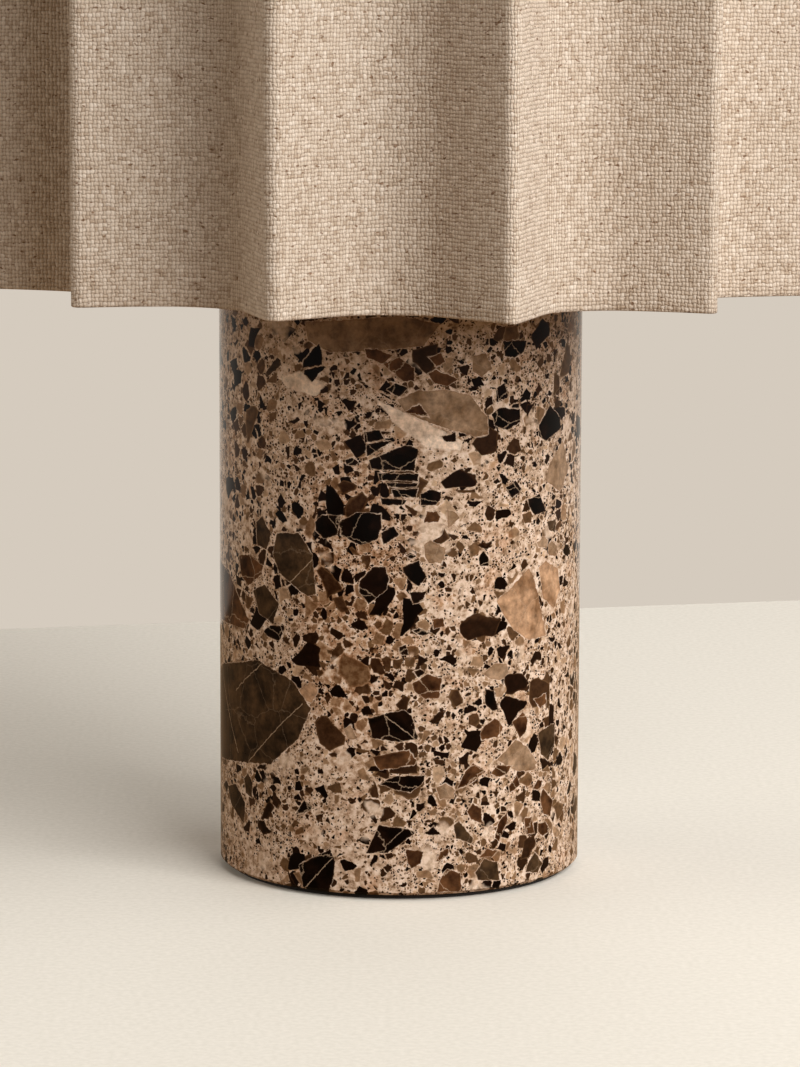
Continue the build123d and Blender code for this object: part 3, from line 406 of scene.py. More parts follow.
def mesh_piece(name, points, faces, body):
    """A smooth mesh object from arrays, riding on a body of the CAD."""
    mesh = bpy.data.meshes.new(name)
    mesh.from_pydata(points.reshape(-1, 3), [], faces)
    mesh.polygons.foreach_set("use_smooth", np.ones(len(mesh.polygons), bool))
    piece = bpy.data.objects.new(name, mesh)
    bpy.context.scene.collection.objects.link(piece)
    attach(piece, body)
    return piece


print("a band of 3 rows and 4 columns has", len(grid_faces(3, 4)), "faces")

# %% [markdown]
# The cloth's grid is fine where it bends, over a ridge, through a valley and round a turned
# edge, and coarse where it is flat: creases stay crisp and the mesh stays light.

# %% steps round and up the cloth
columns_over_ridge, columns_on_panel, columns_in_valley = 6, 4, 6
rows_turned_in, rows_in_fold, rows_outside = 3, 6, 60

half_steps = np.concatenate([
    stretch(0, ridge_arc, columns_over_ridge),
    stretch(ridge_arc, flat_panel, columns_on_panel),
    stretch(ridge_arc + flat_panel, valley_arc, columns_in_valley),
])
whole_pleat = np.concatenate([half_steps, 2 * half_pleat_length - half_steps[::-1]])
whole_pleat = np.unique(np.round(np.append(whole_pleat, half_pleat_length), 9))[:-1]
pleat_starts = 2 * half_pleat_length * np.arange(pleat_count)
along_steps = (pleat_starts[:, None] + whole_pleat).ravel()
up_steps = np.concatenate([
    stretch(0, turned_in, rows_turned_in),
    stretch(turned_in, fold_arc, rows_in_fold),
    stretch(outside_start, outside_height, rows_outside),
    stretch(outside_end, fold_arc, rows_in_fold),
    stretch(outside_end + fold_arc, turned_in, rows_turned_in),
    [cloth_height],
])
print(len(along_steps), "steps round,", len(up_steps), "steps up")

# %% [markdown]
# The two lines now make the surface: at every step the cloth lies behind the pleated line
# by the depth of its profile. The hem tips by what the photograph shows, dying out upwards.
# Each corner also keeps how far along and how far up the cloth it lies, as a UV map, so the
# threads can follow the folds. The thickness is added by a modifier, evenly to both sides.

# %% the sewn cloth
unevenness, hem_waviness = 0.00035, 0.00015
cloth_seed, hem_seed = 7, 11
hem_slope_x, hem_slope_y, hem_drop = -0.0039, -0.0044, -0.0002
hem_tip_height = 0.030

along, up_cloth = np.meshgrid(along_steps, up_steps)
depth, height = cloth_profile(up_cloth)
line, outward = pleated_line(along)
depth = depth + unevenness + slow_waves(along, height, cloth_seed, unevenness)
plan = line - depth[..., None] * outward
tip = hem_drop + hem_slope_x * plan[..., 0] + hem_slope_y * plan[..., 1]
fading = np.clip(1 - (height - hem_level) / hem_tip_height, 0, 1)
hem_waves = slow_waves(along, 0 * height, hem_seed, hem_waviness)
sewn = np.dstack([plan, height + tip * fading + hem_waves * fading])
quads = grid_faces(len(up_steps), len(along_steps))
cloth = mesh_piece("linen_shade", sewn, quads, "shade")

round_steps = np.append(along_steps, cloth_round)
row, column = np.meshgrid(np.arange(len(up_steps) - 1), np.arange(len(along_steps)), indexing="ij")
u_start, u_end = round_steps[column], round_steps[column + 1]
v_start, v_end = up_steps[row], up_steps[row + 1]
corner_u = np.stack([u_start, u_end, u_end, u_start], -1)
corner_v = np.stack([v_start, v_start, v_end, v_end], -1)
thread_map = cloth.data.uv_layers.new(name="threads")
thread_map.data.foreach_set("uv", np.stack([corner_u, corner_v], -1).ravel())

skin = cloth.modifiers.new("cloth_thickness", "SOLIDIFY")
skin.thickness, skin.offset = linen_thickness, 0.0
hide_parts("shade_cloth")
print(len(cloth.data.polygons), "faces, lowest", round(float(sewn[..., 2].min()) * 1000, 2), "mm")

# %% [markdown]
# A woven cloth could be thousands of modelled threads, but with 856 of them round the
# shade that is far too much mesh. A plain weave is also a formula: each warp thread goes
# over one weft thread and under the next. The group below is handed a place counted in
# threads and bends it first, slowly and then thread by thread, because hand-spun linen
# never runs quite straight.

# %% the weave: where the threads run
drift_scale, drift_in_threads = 0.05, 1.6
jitter_scale, jitter_in_threads = 0.45, 0.75

weave, given, gives = new_group(
    "plain_weave",
    [("Threads", "vector")],
    [("Height", "value"), ("Tone", "value"), ("Fleck", "value"), ("Fuzz", "value")],
)
drift = centred(weave, noise(weave, given["Threads"], drift_scale)[1])
jitter = centred(weave, noise(weave, given["Threads"], jitter_scale, 1.0)[1])
drift, jitter = scaled(weave, drift, drift_in_threads), scaled(weave, jitter, jitter_in_threads)
uneven = vector_of(weave, "ADD", drift, jitter)
waved = vector_of(weave, "ADD", given["Threads"], uneven)
parts = parts_of(weave, waved)
warp_number = sum_of(weave, "FLOOR", parts["X"])
weft_number = sum_of(weave, "FLOOR", parts["Y"])
print("threads wander by up to", drift_in_threads / 2 + jitter_in_threads / 2, "of their spacing")

# %% [markdown]
# Every thread has a tone and a thickness of its own, and where it slubs it is paler and
# fuller. Its profile is round, and along its length it waves over and under the threads
# that it crosses. What is seen at a point is the higher of the two threads there. A chance
# at every crossing, brown straw flecks and a fine fuzz keep the cloth from looking printed.

# %% the weave: one thread over another
tone_scale, tone_run = 1.37, 0.17
slub_width, warp_half_width, weft_half_width = 0.5, 0.23, 0.31
profile_power = 2.2
weft_own_tones = 517.3
wave_middle, wave_depth = 0.62, 0.38
crossing_chance = 0.12
straw_stretch, straw_start, straw_end = (0.55, 0.9, 1.0), 0.67, 0.74
fuzz_scale, fuzz_roughness = 3.1, 0.7


def strand(number, across, along, half_width):
    """One thread: its tone along its length, and its rounded profile, thicker where it slubs.

    The tone is a noise that changes slowly along the thread and at once to the next one. The
    profile is one less the distance from the thread's middle, to a power.
    """
    where = vector_from(weave, number, sum_of(weave, "MULTIPLY", along, tone_run))
    own_tone = noise(weave, where, tone_scale)[0]
    middle = sum_of(weave, "SUBTRACT", sum_of(weave, "FRACT", across), 0.5)
    middle = sum_of(weave, "ABSOLUTE", middle)
    reach = sum_of(weave, "MULTIPLY_ADD", own_tone, slub_width, half_width)
    spread = sum_of(weave, "DIVIDE", middle, reach, clamp=True)
    spread = sum_of(weave, "POWER", spread, profile_power)
    return own_tone, sum_of(weave, "SUBTRACT", 1.0, spread)


def lift(profile, along, other_number, sign):
    """A thread's height from 0 to 1: its profile times a cosine, turned over at each crossing."""
    turn = sum_of(weave, "ADD", sum_of(weave, "SUBTRACT", along, 0.5), other_number)
    wave = sum_of(weave, "COSINE", sum_of(weave, "MULTIPLY", turn, pi))
    wave = sum_of(weave, "MULTIPLY_ADD", wave, wave_depth * sign, wave_middle)
    return sum_of(weave, "MULTIPLY", profile, wave)


weft_place = sum_of(weave, "ADD", weft_number, weft_own_tones)
warp_tone, warp_profile = strand(warp_number, parts["X"], parts["Y"], warp_half_width)
weft_tone, weft_profile = strand(weft_place, parts["Y"], parts["X"], weft_half_width)
warp_height = lift(warp_profile, parts["Y"], warp_number, 1)
weft_height = lift(weft_profile, parts["X"], weft_number, -1)
weave.links.new(sum_of(weave, "MAXIMUM", warp_height, weft_height), gives["Height"])
warp_on_top = sum_of(weave, "GREATER_THAN", warp_height, weft_height)
either = {"Factor": warp_on_top, 2: weft_tone, 3: warp_tone}
top_tone = put(weave, "ShaderNodeMix", either).outputs[0]
crossing = vector_from(weave, warp_number, weft_number)
chance = put(weave, "ShaderNodeTexWhiteNoise", {"Vector": crossing}).outputs["Value"]
top_tone = sum_of(weave, "MULTIPLY_ADD", chance, crossing_chance, top_tone)
weave.links.new(sum_of(weave, "SUBTRACT", top_tone, crossing_chance / 2), gives["Tone"])
straw = noise(weave, vector_of(weave, "MULTIPLY", waved, straw_stretch), 1.0, 1.0)[0]
weave.links.new(step(weave, straw, straw_start, straw_end), gives["Fleck"])
weave.links.new(noise(weave, waved, fuzz_scale, 3.0, fuzz_roughness)[0], gives["Fuzz"])
print("weave:", len(weave.nodes), "nodes")

# %% [markdown]
# Natural linen is grey-beige with a brown fleck of straw here and there. It has no gloss.
# The gaps between its threads are painted dark brown: painted shade where the threads lie
# low and hide each other. The threads follow the cloth's own map, so they bend over the
# ridges and turn in at the hem with it.

# %% linen
thread_spacing = 0.00105
gap_shade_start, gap_shade_end, gap_shade_share = 0.80, 0.28, 0.47
straw_share = 0.8
fuzz_dark, fuzz_light = 0.79, 1.11
fuzz_relief, relief_metres = 0.25, 0.00029

threads_round = 2 * round(cloth_round / thread_spacing / 2)
linen, tree, shader = new_material(
    "natural_linen",
    Roughness=0.92,
    Sheen_Weight=0.08,
    Sheen_Roughness=0.6,
    Specular_IOR_Level=0.15,
)
cloth_metres = put(tree, "ShaderNodeUVMap", uv_map="threads").outputs[0]
per_metre = (threads_round / cloth_round, 1 / thread_spacing, 1.0)
threads = place_group(tree, weave, Threads=vector_of(tree, "MULTIPLY", cloth_metres, per_metre))
yarn = ramp(tree, threads["Tone"], [
    (0.33, tone(184, 163, 141)),
    (0.45, tone(203, 185, 165)),
    (0.56, tone(211, 194, 175)),
    (0.69, tone(223, 208, 191)),
])
# Painted shade: where both threads lie low, in the gaps between them, the yarn's colour is pulled
# towards a dark brown.
painted_gap_shade = step(tree, threads["Height"], gap_shade_start, gap_shade_end)
painted_gap_shade = sum_of(tree, "MULTIPLY", painted_gap_shade, gap_shade_share)
yarn = blend(tree, painted_gap_shade, yarn, opaque(106, 75, 47))
fleck = sum_of(tree, "MULTIPLY", threads["Fleck"], straw_share)
yarn = blend(tree, fleck, yarn, opaque(112, 78, 48))
fuzz = step(tree, threads["Fuzz"], 0.2, 0.8, fuzz_dark, fuzz_light, "LINEAR")
yarn = blend(tree, 1.0, yarn, grey(tree, fuzz), "MULTIPLY")
relief = sum_of(tree, "MULTIPLY_ADD", threads["Fuzz"], fuzz_relief, threads["Height"])
bump = {"Strength": 1.0, "Distance": relief_metres, "Height": relief}
feed(tree, shader, Base_Color=yarn, Normal=put(tree, "ShaderNodeBump", bump).outputs[0])
cloth.data.materials.append(linen)
print(threads_round, "threads round,", round(cloth_height / thread_spacing), "up the cloth")

# %% [markdown]
# Breccia is stone that was shattered and cemented again: angular pieces from dust to the
# size of a thumb, in a cream cement. A picture could not go round the column and over its
# top without a seam, so the stone is built in space. Each size of fragment is one
# Voronoi pattern with its cells shrunk apart, and only some of its cells hold a stone.

# %% one size of fragment
wander_detail = 1.3
most_shrink, shrink_power = 0.16, 3.0
edge_start, edge_end = -0.05, 0.08

breccia, given, gives = new_group(
    "fragments",
    [
        ("Point", "vector"),
        ("Size", "value", 4.0),
        ("Share", "value", 0.4),
        ("Gap", "value", 0.25),
        ("Wander", "value", 0.5),
        ("Seed", "value", 0.0),
    ],
    [("Stone", "value"), ("Tone", "value"), ("Inside", "value")],
)
wander_scale = sum_of(breccia, "DIVIDE", wander_detail, given["Size"])
stray = centred(breccia, noise(breccia, given["Point"], wander_scale)[1])
moved = vector_of(breccia, "ADD", given["Point"], scaled(breccia, stray, given["Wander"]))
moved = scaled(breccia, moved, sum_of(breccia, "DIVIDE", 1.0, given["Size"]))
moved = vector_of(breccia, "ADD", moved, grey(breccia, given["Seed"]))
cell_colour = cells(breccia, moved, 1.0, "F1").outputs["Color"]
draws = put(breccia, "ShaderNodeSeparateColor", {0: cell_colour}).outputs
to_border = cells(breccia, moved, 1.0, "DISTANCE_TO_EDGE").outputs["Distance"]
inside = sum_of(breccia, "MULTIPLY", to_border, given["Size"])
shrink = sum_of(breccia, "MULTIPLY", given["Size"], most_shrink)
shrink = sum_of(breccia, "MULTIPLY", sum_of(breccia, "POWER", draws["Blue"], shrink_power), shrink)
inside = sum_of(breccia, "SUBTRACT", sum_of(breccia, "SUBTRACT", inside, given["Gap"]), shrink)
there = sum_of(breccia, "LESS_THAN", draws["Red"], given["Share"])
there = sum_of(breccia, "MULTIPLY", there, step(breccia, inside, edge_start, edge_end))
breccia.links.new(there, gives["Stone"])
breccia.links.new(draws["Green"], gives["Tone"])
breccia.links.new(inside, gives["Inside"])
print("fragments:", len(breccia.nodes), "nodes")

# %% [markdown]
# The column's ground is a beige cement, clouded by one fine noise. Its polish is a low
# roughness, and its specular level is kept down so that the dark pieces stay deep. Every
# fragment laid on it takes its tone from one scale, from black over brown to a pale tan,
# with the same cloudiness over it and a paler rim, as if the cement had soaked in.

# %% cement, and how fragments are laid on it
stone, tree, shader = new_material("polished_breccia", Roughness=0.10, Specular_IOR_Level=0.06)
point = object_millimetres(tree)
fine, fine_colour = noise(tree, point, 0.55, 4.0, 0.65)
cement = ramp(tree, fine, [
    (0.30, tone(108, 82, 61)),
    (0.41, tone(167, 139, 114)),
    (0.54, tone(207, 182, 160)),
    (0.72, tone(226, 207, 190)),
])
fragment_tones = [
    (0.00, tone(6, 2, 1)),
    (0.30, tone(22, 9, 4)),
    (0.48, tone(56, 35, 20)),
    (0.66, tone(95, 69, 45)),
    (0.82, tone(136, 106, 79)),
    (1.00, tone(182, 153, 124)),
]
mottle_dark, mottle_pale = 0.5, 1.5
mottle = grey(tree, step(tree, fine, 0.25, 0.75, mottle_dark, mottle_pale, "LINEAR"))
rim_width, rim_paler = 0.07, 0.16


def lay_fragments(below, size, share, gap, wander, seed, tones):
    """One size of fragment over what is below it. Its tones are a start and a span."""
    found = place_group(
        tree, breccia, Point=point, Size=size, Share=share, Gap=gap, Wander=wander, Seed=seed
    )
    own_tone = sum_of(tree, "MULTIPLY_ADD", found["Tone"], tones[1], tones[0])
    rim = step(tree, found["Inside"], size * rim_width, 0.0, 0.0, rim_paler)
    colour = ramp(tree, sum_of(tree, "ADD", own_tone, rim), fragment_tones)
    return blend(tree, found["Stone"], below, blend(tree, 1.0, colour, mottle, "MULTIPLY"))


print("cement:", len(tree.nodes), "nodes")

# %% [markdown]
# Where the stone was crushed the most the small fragments crowd, so a slow noise steers how
# many cells of each size are filled. Left of the middle a darker band runs up the column,
# richer in chips and pebbles. Over the three small sizes lie patches of clean calcite, and
# over them the two large sizes, mostly left out in front, where they are placed one by one.

# %% five sizes of fragment
band_centre, band_squeeze = (-13.0, -48.0, 82.0), (1.0, 0.7, 0.36)
band_reach, band_core = 21.0, 9.0
back_starts, front_starts = 12.0, -2.0
calcite_shift, calcite_scale = (40, 0, 0), 0.09
calcite_start, calcite_end, calcite_share, calcite_paler = 0.62, 0.70, 0.8, 0.4
crush_scale, whole, crushed, chips_crushed = 0.045, 0.35, 0.62, 0.65
dust_shares, crumb_shares, chip_shares = (0.28, 0.74), (0.12, 0.52), (0.18, 0.50)
pebbles_whole, pebbles_crushed, pebble_shares = 0.40, 0.60, (0.45, 0.20)
block_share, placed_by_hand = 0.16, 0.65
more_chips, more_pebbles = 0.30, 0.25

crush_colour = noise(tree, point, crush_scale)[1]
crush = put(tree, "ShaderNodeSeparateColor", {0: crush_colour}).outputs
on_front = step(tree, parts_of(tree, point)["Y"], back_starts, front_starts)
from_band = vector_of(tree, "SUBTRACT", point, band_centre)
from_band = vector_of(tree, "LENGTH", vector_of(tree, "MULTIPLY", from_band, band_squeeze))
dark_band = step(tree, from_band, band_reach, band_core)

dust = step(tree, crush["Red"], whole, crushed, *dust_shares)
crumbs = step(tree, crush["Green"], whole, crushed, *crumb_shares)
chips = step(tree, crush["Blue"], whole, chips_crushed, *chip_shares)
chips = sum_of(tree, "MULTIPLY_ADD", dark_band, more_chips, chips)
body = lay_fragments(cement, 0.75, dust, gap=0.05, wander=0.4, seed=3.1, tones=(0.22, 0.78))
body = lay_fragments(body, 1.7, crumbs, gap=0.12, wander=0.6, seed=17.7, tones=(0.10, 0.90))
body = lay_fragments(body, 3.4, chips, gap=0.17, wander=1.2, seed=29.3, tones=(0.05, 0.90))

calcite = noise(tree, vector_of(tree, "ADD", point, calcite_shift), calcite_scale, 3.0)[0]
calcite = step(tree, calcite, calcite_start, calcite_end, 0.0, calcite_share)
body = blend(tree, calcite, body, cement)
clean = sum_of(tree, "MULTIPLY", calcite, calcite_paler)
body = blend(tree, clean, body, opaque(222, 198, 174))

pebbles = step(tree, crush["Green"], pebbles_whole, pebbles_crushed, *pebble_shares)
behind = sum_of(tree, "MULTIPLY_ADD", on_front, -placed_by_hand, 1.0)
pebbles = sum_of(tree, "MULTIPLY", pebbles, behind)
pebbles = sum_of(tree, "MULTIPLY_ADD", dark_band, more_pebbles, pebbles)
blocks = sum_of(tree, "MULTIPLY_ADD", on_front, -block_share, block_share)
body = lay_fragments(body, 7.0, pebbles, gap=0.22, wander=2.0, seed=41.9, tones=(0.0, 0.80))
body = lay_fragments(body, 17.0, blocks, gap=0.5, wander=3.0, seed=53.3, tones=(0.30, 0.35))
print("with fragments:", len(tree.nodes), "nodes")

# %% [markdown]
# Iron in the ground water has stained the cement a faint rust in slow clouds, and most of
# all in the dark band. A stain darkens what it lies on, so it is multiplied, not painted.

# %% stains
stain_shift, stain_scale = (0, 70, 0), 0.13
stain_start, stain_end, stain_share = 0.52, 0.70, 0.6
dark_cement, pale_cement, stained_dark, stained_pale = 0.38, 0.60, 0.8, 0.1
stain = noise(tree, vector_of(tree, "ADD", point, stain_shift), stain_scale, 5.0, 0.7)[0]
stain = step(tree, stain, stain_start, stain_end, 0.0, stain_share)
band_stain = step(tree, fine, dark_cement, pale_cement, stained_dark, stained_pale)
band_stain = sum_of(tree, "MULTIPLY", dark_band, band_stain)
stain = sum_of(tree, "MAXIMUM", stain, band_stain)
body = blend(tree, stain, body, opaque(225, 193, 162), "MULTIPLY")
print("with stains:", len(tree.nodes), "nodes")

# %% [markdown]
# On the side that the photograph shows, the largest fragments are where the real stone has
# them. Each is the outline of a few corners that were read from the picture, and sorted by
# the kind of stone it is: the kinds differ in colour, rim and veins.

# %% corners in the picture
seen_fragments = {
    "black": [
        [(319, 343), (322, 351), (322, 365), (302, 368), (304, 360)],
        [(304, 370), (320, 366), (326, 367), (312, 382), (304, 374)],
        [(364, 432), (379, 430), (384, 439), (365, 443)],
        [(366, 445), (382, 441), (392, 442), (367, 456)],
        [(369, 460), (405, 445), (418, 449), (414, 471), (371, 469)],
        [(378, 473), (419, 474), (418, 481), (379, 480)],
        [(386, 483), (418, 483), (416, 487), (388, 487)],
        [(392, 489), (418, 489), (416, 497), (394, 497)],
        [(381, 498), (407, 500), (403, 505), (382, 505)],
        [(345, 460), (352, 458), (359, 462), (355, 466), (347, 465)],
        [(420, 494), (430, 490), (441, 492), (440, 500), (436, 505), (421, 505)],
        [(503, 341), (527, 340), (524, 352), (514, 358), (505, 356)],
        [(492, 414), (501, 407), (520, 409), (520, 422), (507, 430), (495, 426)],
        [(539, 425), (550, 405), (560, 417), (561, 428), (546, 441), (539, 436)],
        [(497, 388), (505, 383), (508, 398), (499, 400)],
        [(386, 390), (396, 383), (407, 388), (399, 397)],
        [(441, 437), (456, 432), (456, 441), (447, 442)],
        [(339, 522), (358, 512), (381, 514), (382, 526), (377, 539), (360, 545), (341, 535)],
        [(315, 522), (322, 515), (341, 516), (337, 535), (324, 539), (316, 531)],
        [(381, 533), (394, 526), (399, 535), (384, 545)],
        [(506, 488), (516, 480), (522, 490), (512, 498)],
        [(528, 499), (540, 494), (546, 511), (535, 515), (529, 506)],
        [(402, 567), (419, 561), (426, 577), (419, 587), (411, 582), (403, 573)],
        [(406, 556), (411, 553), (417, 556), (411, 559)],
        [(410, 592), (426, 592), (423, 601), (413, 604)],
        [(479, 558), (483, 551), (489, 557), (488, 566), (480, 566)],
        [(413, 631), (419, 628), (431, 634), (423, 636)],
        [(399, 647), (406, 645), (409, 655), (400, 655)],
        [(360, 581), (373, 567), (385, 567), (389, 579), (387, 589), (369, 604), (359, 592)],
        [(263, 631), (271, 625), (280, 626), (283, 634), (279, 641), (267, 636)],
        [(414, 672), (420, 669), (424, 673), (419, 677)],
        [(368, 718), (395, 712), (405, 710), (412, 717), (418, 739), (398, 742), (372, 738)],
        [(395, 776), (425, 776), (424, 782), (411, 792), (395, 790), (380, 784)],
        [(366, 853), (379, 825), (408, 829), (415, 833), (400, 844), (387, 853)],
        [(485, 703), (485, 688), (494, 691), (498, 709), (492, 711)],
        [(299, 865), (330, 849), (335, 862), (333, 881), (327, 894), (304, 891)],
        [(424, 834), (433, 826), (441, 835)],
        [(296, 814), (304, 800), (312, 806), (311, 811)],
    ],
    "brown": [
        [(365, 349), (377, 349), (392, 356), (382, 364), (367, 358)],
        [(383, 364), (399, 357), (414, 368), (414, 381), (403, 381)],
        [(428, 373), (437, 370), (458, 379), (448, 386), (433, 383)],
        [(429, 357), (441, 353), (445, 362), (437, 367)],
        [(404, 412), (420, 404), (428, 416)],
        [(425, 519), (427, 511), (436, 512), (441, 517), (438, 522), (424, 523)],
        [(432, 619), (443, 618), (445, 626), (434, 629)],
        [(239, 555), (250, 555), (263, 566), (262, 574), (248, 586), (241, 574)],
        [(412, 684), (428, 674), (442, 679), (439, 698), (425, 699), (414, 691)],
        [(395, 752), (409, 750), (416, 760), (414, 765), (405, 766), (380, 770), (372, 757)],
        [(480, 733), (484, 727), (495, 718), (504, 727), (497, 737), (482, 740)],
        [(512, 723), (523, 712), (528, 720), (526, 731), (520, 738)],
        [(534, 699), (546, 693), (546, 703), (540, 708)],
        [(457, 789), (464, 774), (473, 763), (486, 771), (470, 784)],
        [(491, 774), (497, 765), (512, 766), (507, 774), (499, 777)],
        [(509, 786), (517, 776), (520, 785), (510, 793)],
        [(533, 789), (538, 779), (543, 781), (540, 790)],
        [(540, 798), (543, 789), (553, 800), (550, 816), (543, 813)],
        [(467, 811), (473, 803), (481, 809), (483, 824), (471, 819)],
        [(495, 838), (499, 821), (507, 813), (508, 819), (499, 841)],
        [(524, 819), (532, 817), (534, 833), (526, 835)],
        [(538, 824), (546, 822), (550, 830), (543, 836), (538, 832)],
        [(406, 850), (423, 851), (421, 864), (411, 868), (407, 860)],
        [(436, 862), (440, 852), (449, 848), (448, 856)],
        [(437, 892), (440, 880), (447, 869), (460, 873), (462, 886), (459, 891)],
        [(479, 857), (487, 849), (497, 851), (492, 857)],
        [(216, 556), (229, 570), (240, 600), (249, 620), (246, 629), (222, 619), (211, 596)],
    ],
    "olive": [
        [(277, 357), (281, 360), (281, 365), (267, 377), (265, 374)],
        [(277, 533), (299, 533), (312, 554), (316, 594), (307, 596), (279, 573), (273, 555)],
        [(256, 522), (262, 516), (271, 534), (267, 550), (257, 545)],
        [(253, 590), (265, 585), (279, 604), (273, 624), (259, 613)],
        [
            (206, 684), (222, 664), (258, 660), (292, 680), (311, 709),
            (298, 739), (271, 764), (222, 757), (203, 728),
        ],
        [(538, 733), (555, 722), (554, 746), (548, 760), (541, 754)],
        [(454, 825), (459, 821), (473, 838), (471, 843), (456, 838)],
        [(228, 786), (236, 784), (245, 803), (244, 824), (231, 803)],
        [(244, 778), (248, 773), (252, 782), (252, 798), (246, 793)],
        [(475, 873), (484, 859), (497, 862), (500, 880), (478, 880)],
        [(527, 865), (535, 852), (542, 862), (538, 873), (526, 872)],
        [(547, 522), (556, 519), (555, 532), (549, 530)],
    ],
    "tan": [
        [
            (397, 400), (418, 391), (448, 390), (470, 395), (487, 417),
            (488, 434), (476, 437), (430, 423), (405, 412),
        ],
        [(305, 322), (400, 316), (440, 324), (424, 346), (380, 350), (330, 352), (308, 340)],
        [(424, 545), (430, 540), (446, 549), (442, 563), (429, 563), (425, 555)],
        [(447, 510), (455, 512), (460, 518), (448, 528)],
        [(537, 543), (544, 536), (548, 540), (546, 548), (539, 547)],
        [(548, 545), (552, 541), (557, 546), (555, 556), (549, 555)],
        [(343, 730), (351, 725), (357, 739), (349, 739)],
        [(473, 356), (486, 353), (492, 368), (482, 377), (473, 371)],
        [(483, 674), (495, 663), (507, 664), (508, 674), (500, 680), (491, 679)],
        [(497, 760), (516, 739), (527, 747), (537, 762), (534, 770), (516, 771), (507, 762)],
        [(436, 787), (446, 784), (455, 790), (454, 799), (440, 799)],
        [(550, 463), (563, 440), (568, 470), (560, 492), (545, 480)],
    ],
    "rose": [
        [(497, 601), (529, 568), (535, 582), (546, 635), (529, 640), (514, 630), (504, 615)],
        [(539, 567), (546, 561), (558, 569), (560, 589), (554, 609), (543, 598)],
        [(299, 690), (310, 682), (318, 690), (312, 702), (302, 700)],
        [(315, 880), (322, 872), (326, 884), (320, 893)],
    ],
    "calcite": [
        [(377, 400), (396, 409), (426, 430), (463, 441), (460, 450), (426, 447), (396, 424)],
        [(279, 378), (300, 372), (326, 384), (316, 396), (288, 388)],
    ],
}
print(sum(len(outlines) for outlines in seen_fragments.values()), "fragments placed")

# %% [markdown]
# A ray from the camera through a corner meets the column at one point. That point,
# unrolled to millimetres round and millimetres up, stays put when the camera moves. The
# lines between the corners must not look cut with a knife, so the unrolled surface is
# shaken a little by the fine noise before any distance on it is taken.

# %% from the picture to the column
column_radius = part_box("column")[1].x
shake = (1.3, 1.3, 0)


def on_column(corner):
    """Where the camera's ray through a corner meets the column: millimetres round it and up.

    The point is the smaller root of the ray's quadratic with the cylinder. Past the outline
    it is the ray's nearest point, moved on round the column by twice the gap between them.
    """
    across, down = corner[0] - photo_width / 2, corner[1] - photo_height / 2
    ray = forward + (right * across - up * down) / focal_length_px
    square = ray.x**2 + ray.y**2
    half = camera_place.x * ray.x + camera_place.y * ray.y
    rest = camera_place.x**2 + camera_place.y**2 - column_radius**2
    distance = (-half - max(half**2 - square * rest, 0) ** 0.5) / square
    met = camera_place + distance * ray
    from_axis = (camera_place.x * ray.y - camera_place.y * ray.x) / square**0.5
    past_outline = np.sign(from_axis) * max(abs(from_axis) - column_radius, 0)
    return 1000 * (column_radius * atan2(met.x, -met.y) + 2 * past_outline), 1000 * met.z


place = parts_of(tree, point)
turn_about = sum_of(tree, "ARCTAN2", place["X"], sum_of(tree, "MULTIPLY", place["Y"], -1.0))
arc = sum_of(tree, "MULTIPLY", turn_about, column_radius * 1000)
ragged = centred(tree, fine_colour)
unrolled = vector_from(tree, arc, place["Z"], 1.0)
unrolled = vector_of(tree, "ADD", unrolled, vector_of(tree, "MULTIPLY", ragged, shake))
middle_up = on_column((photo_width / 2, photo_height / 2))[1]
print("the picture's middle lies", round(middle_up, 1), "mm up the column")

# %% [markdown]
# A material has no outlines, only sums, so each outline becomes half planes: one for each
# of its sides, with the fragment on the inner side. How far a point lies from a side is a
# dot product, and the largest of these distances is negative only inside all sides. A
# vein is simpler: a point is near it when it is near its line and not past its ends.

# %% distances on the unrolled column
nearly_zero = 1e-6


def outline_sides(corners):
    """The half planes of the corners' outline: pairs with all other corners to one side."""
    sides = []
    for start in corners:
        for end in corners:
            run = end - start
            length = np.hypot(*run)
            if length == 0:
                continue
            outward = np.array([run[1], -run[0]]) / length
            if ((corners - start) @ outward).max() < nearly_zero:
                sides.append((*outward, -float(outward @ start)))
    return sides


def distance_to_outline(outline):
    """Millimetres to a fragment, negative inside: the largest of its half planes' distances."""
    sides = outline_sides(np.array([on_column(corner) for corner in outline]))
    reaches = [vector_of(tree, "DOT_PRODUCT", unrolled, side) for side in sides]
    return together(tree, "MAXIMUM", reaches)


def distance_to_line(start, end):
    """Millimetres to a straight vein: the larger of how far aside and how far past its ends."""
    start, end = np.array(on_column(start)), np.array(on_column(end))
    length = np.hypot(*(end - start))
    run, middle = (end - start) / length, (start + end) / 2
    across = (run[1], -run[0], -run[1] * start[0] + run[0] * start[1])
    aside = sum_of(tree, "ABSOLUTE", vector_of(tree, "DOT_PRODUCT", unrolled, across))
    beyond = (run[0], run[1], -float(run @ middle))
    beyond = sum_of(tree, "ABSOLUTE", vector_of(tree, "DOT_PRODUCT", unrolled, beyond))
    beyond = sum_of(tree, "SUBTRACT", beyond, float(length) / 2)
    return sum_of(tree, "MAXIMUM", aside, beyond)


most_corners = max(len(outline) for kind in seen_fragments.values() for outline in kind)
print("a fragment has at most", most_corners, "corners")

# %% [markdown]
# Old cracks healed with calcite cross the fragments as pale veins. Six long ones stand
# where the photograph shows them. The rest are the thin borders of a coarse Voronoi
# pattern, which branch and meet as cracks do. They show in the dark stones most.

# %% veins
seen_veins = [
    ((222, 662), (238, 752)),
    ((244, 768), (302, 704)),
    ((236, 690), (262, 664)),
    ((281, 592), (312, 560)),
    ((303, 890), (332, 858)),
    ((385, 716), (414, 738)),
]
vein_outer, vein_core, vein_strength = 0.17, 0.04, 0.6
crack_scale, crack_outer, crack_core = 0.085, 0.013, 0.003

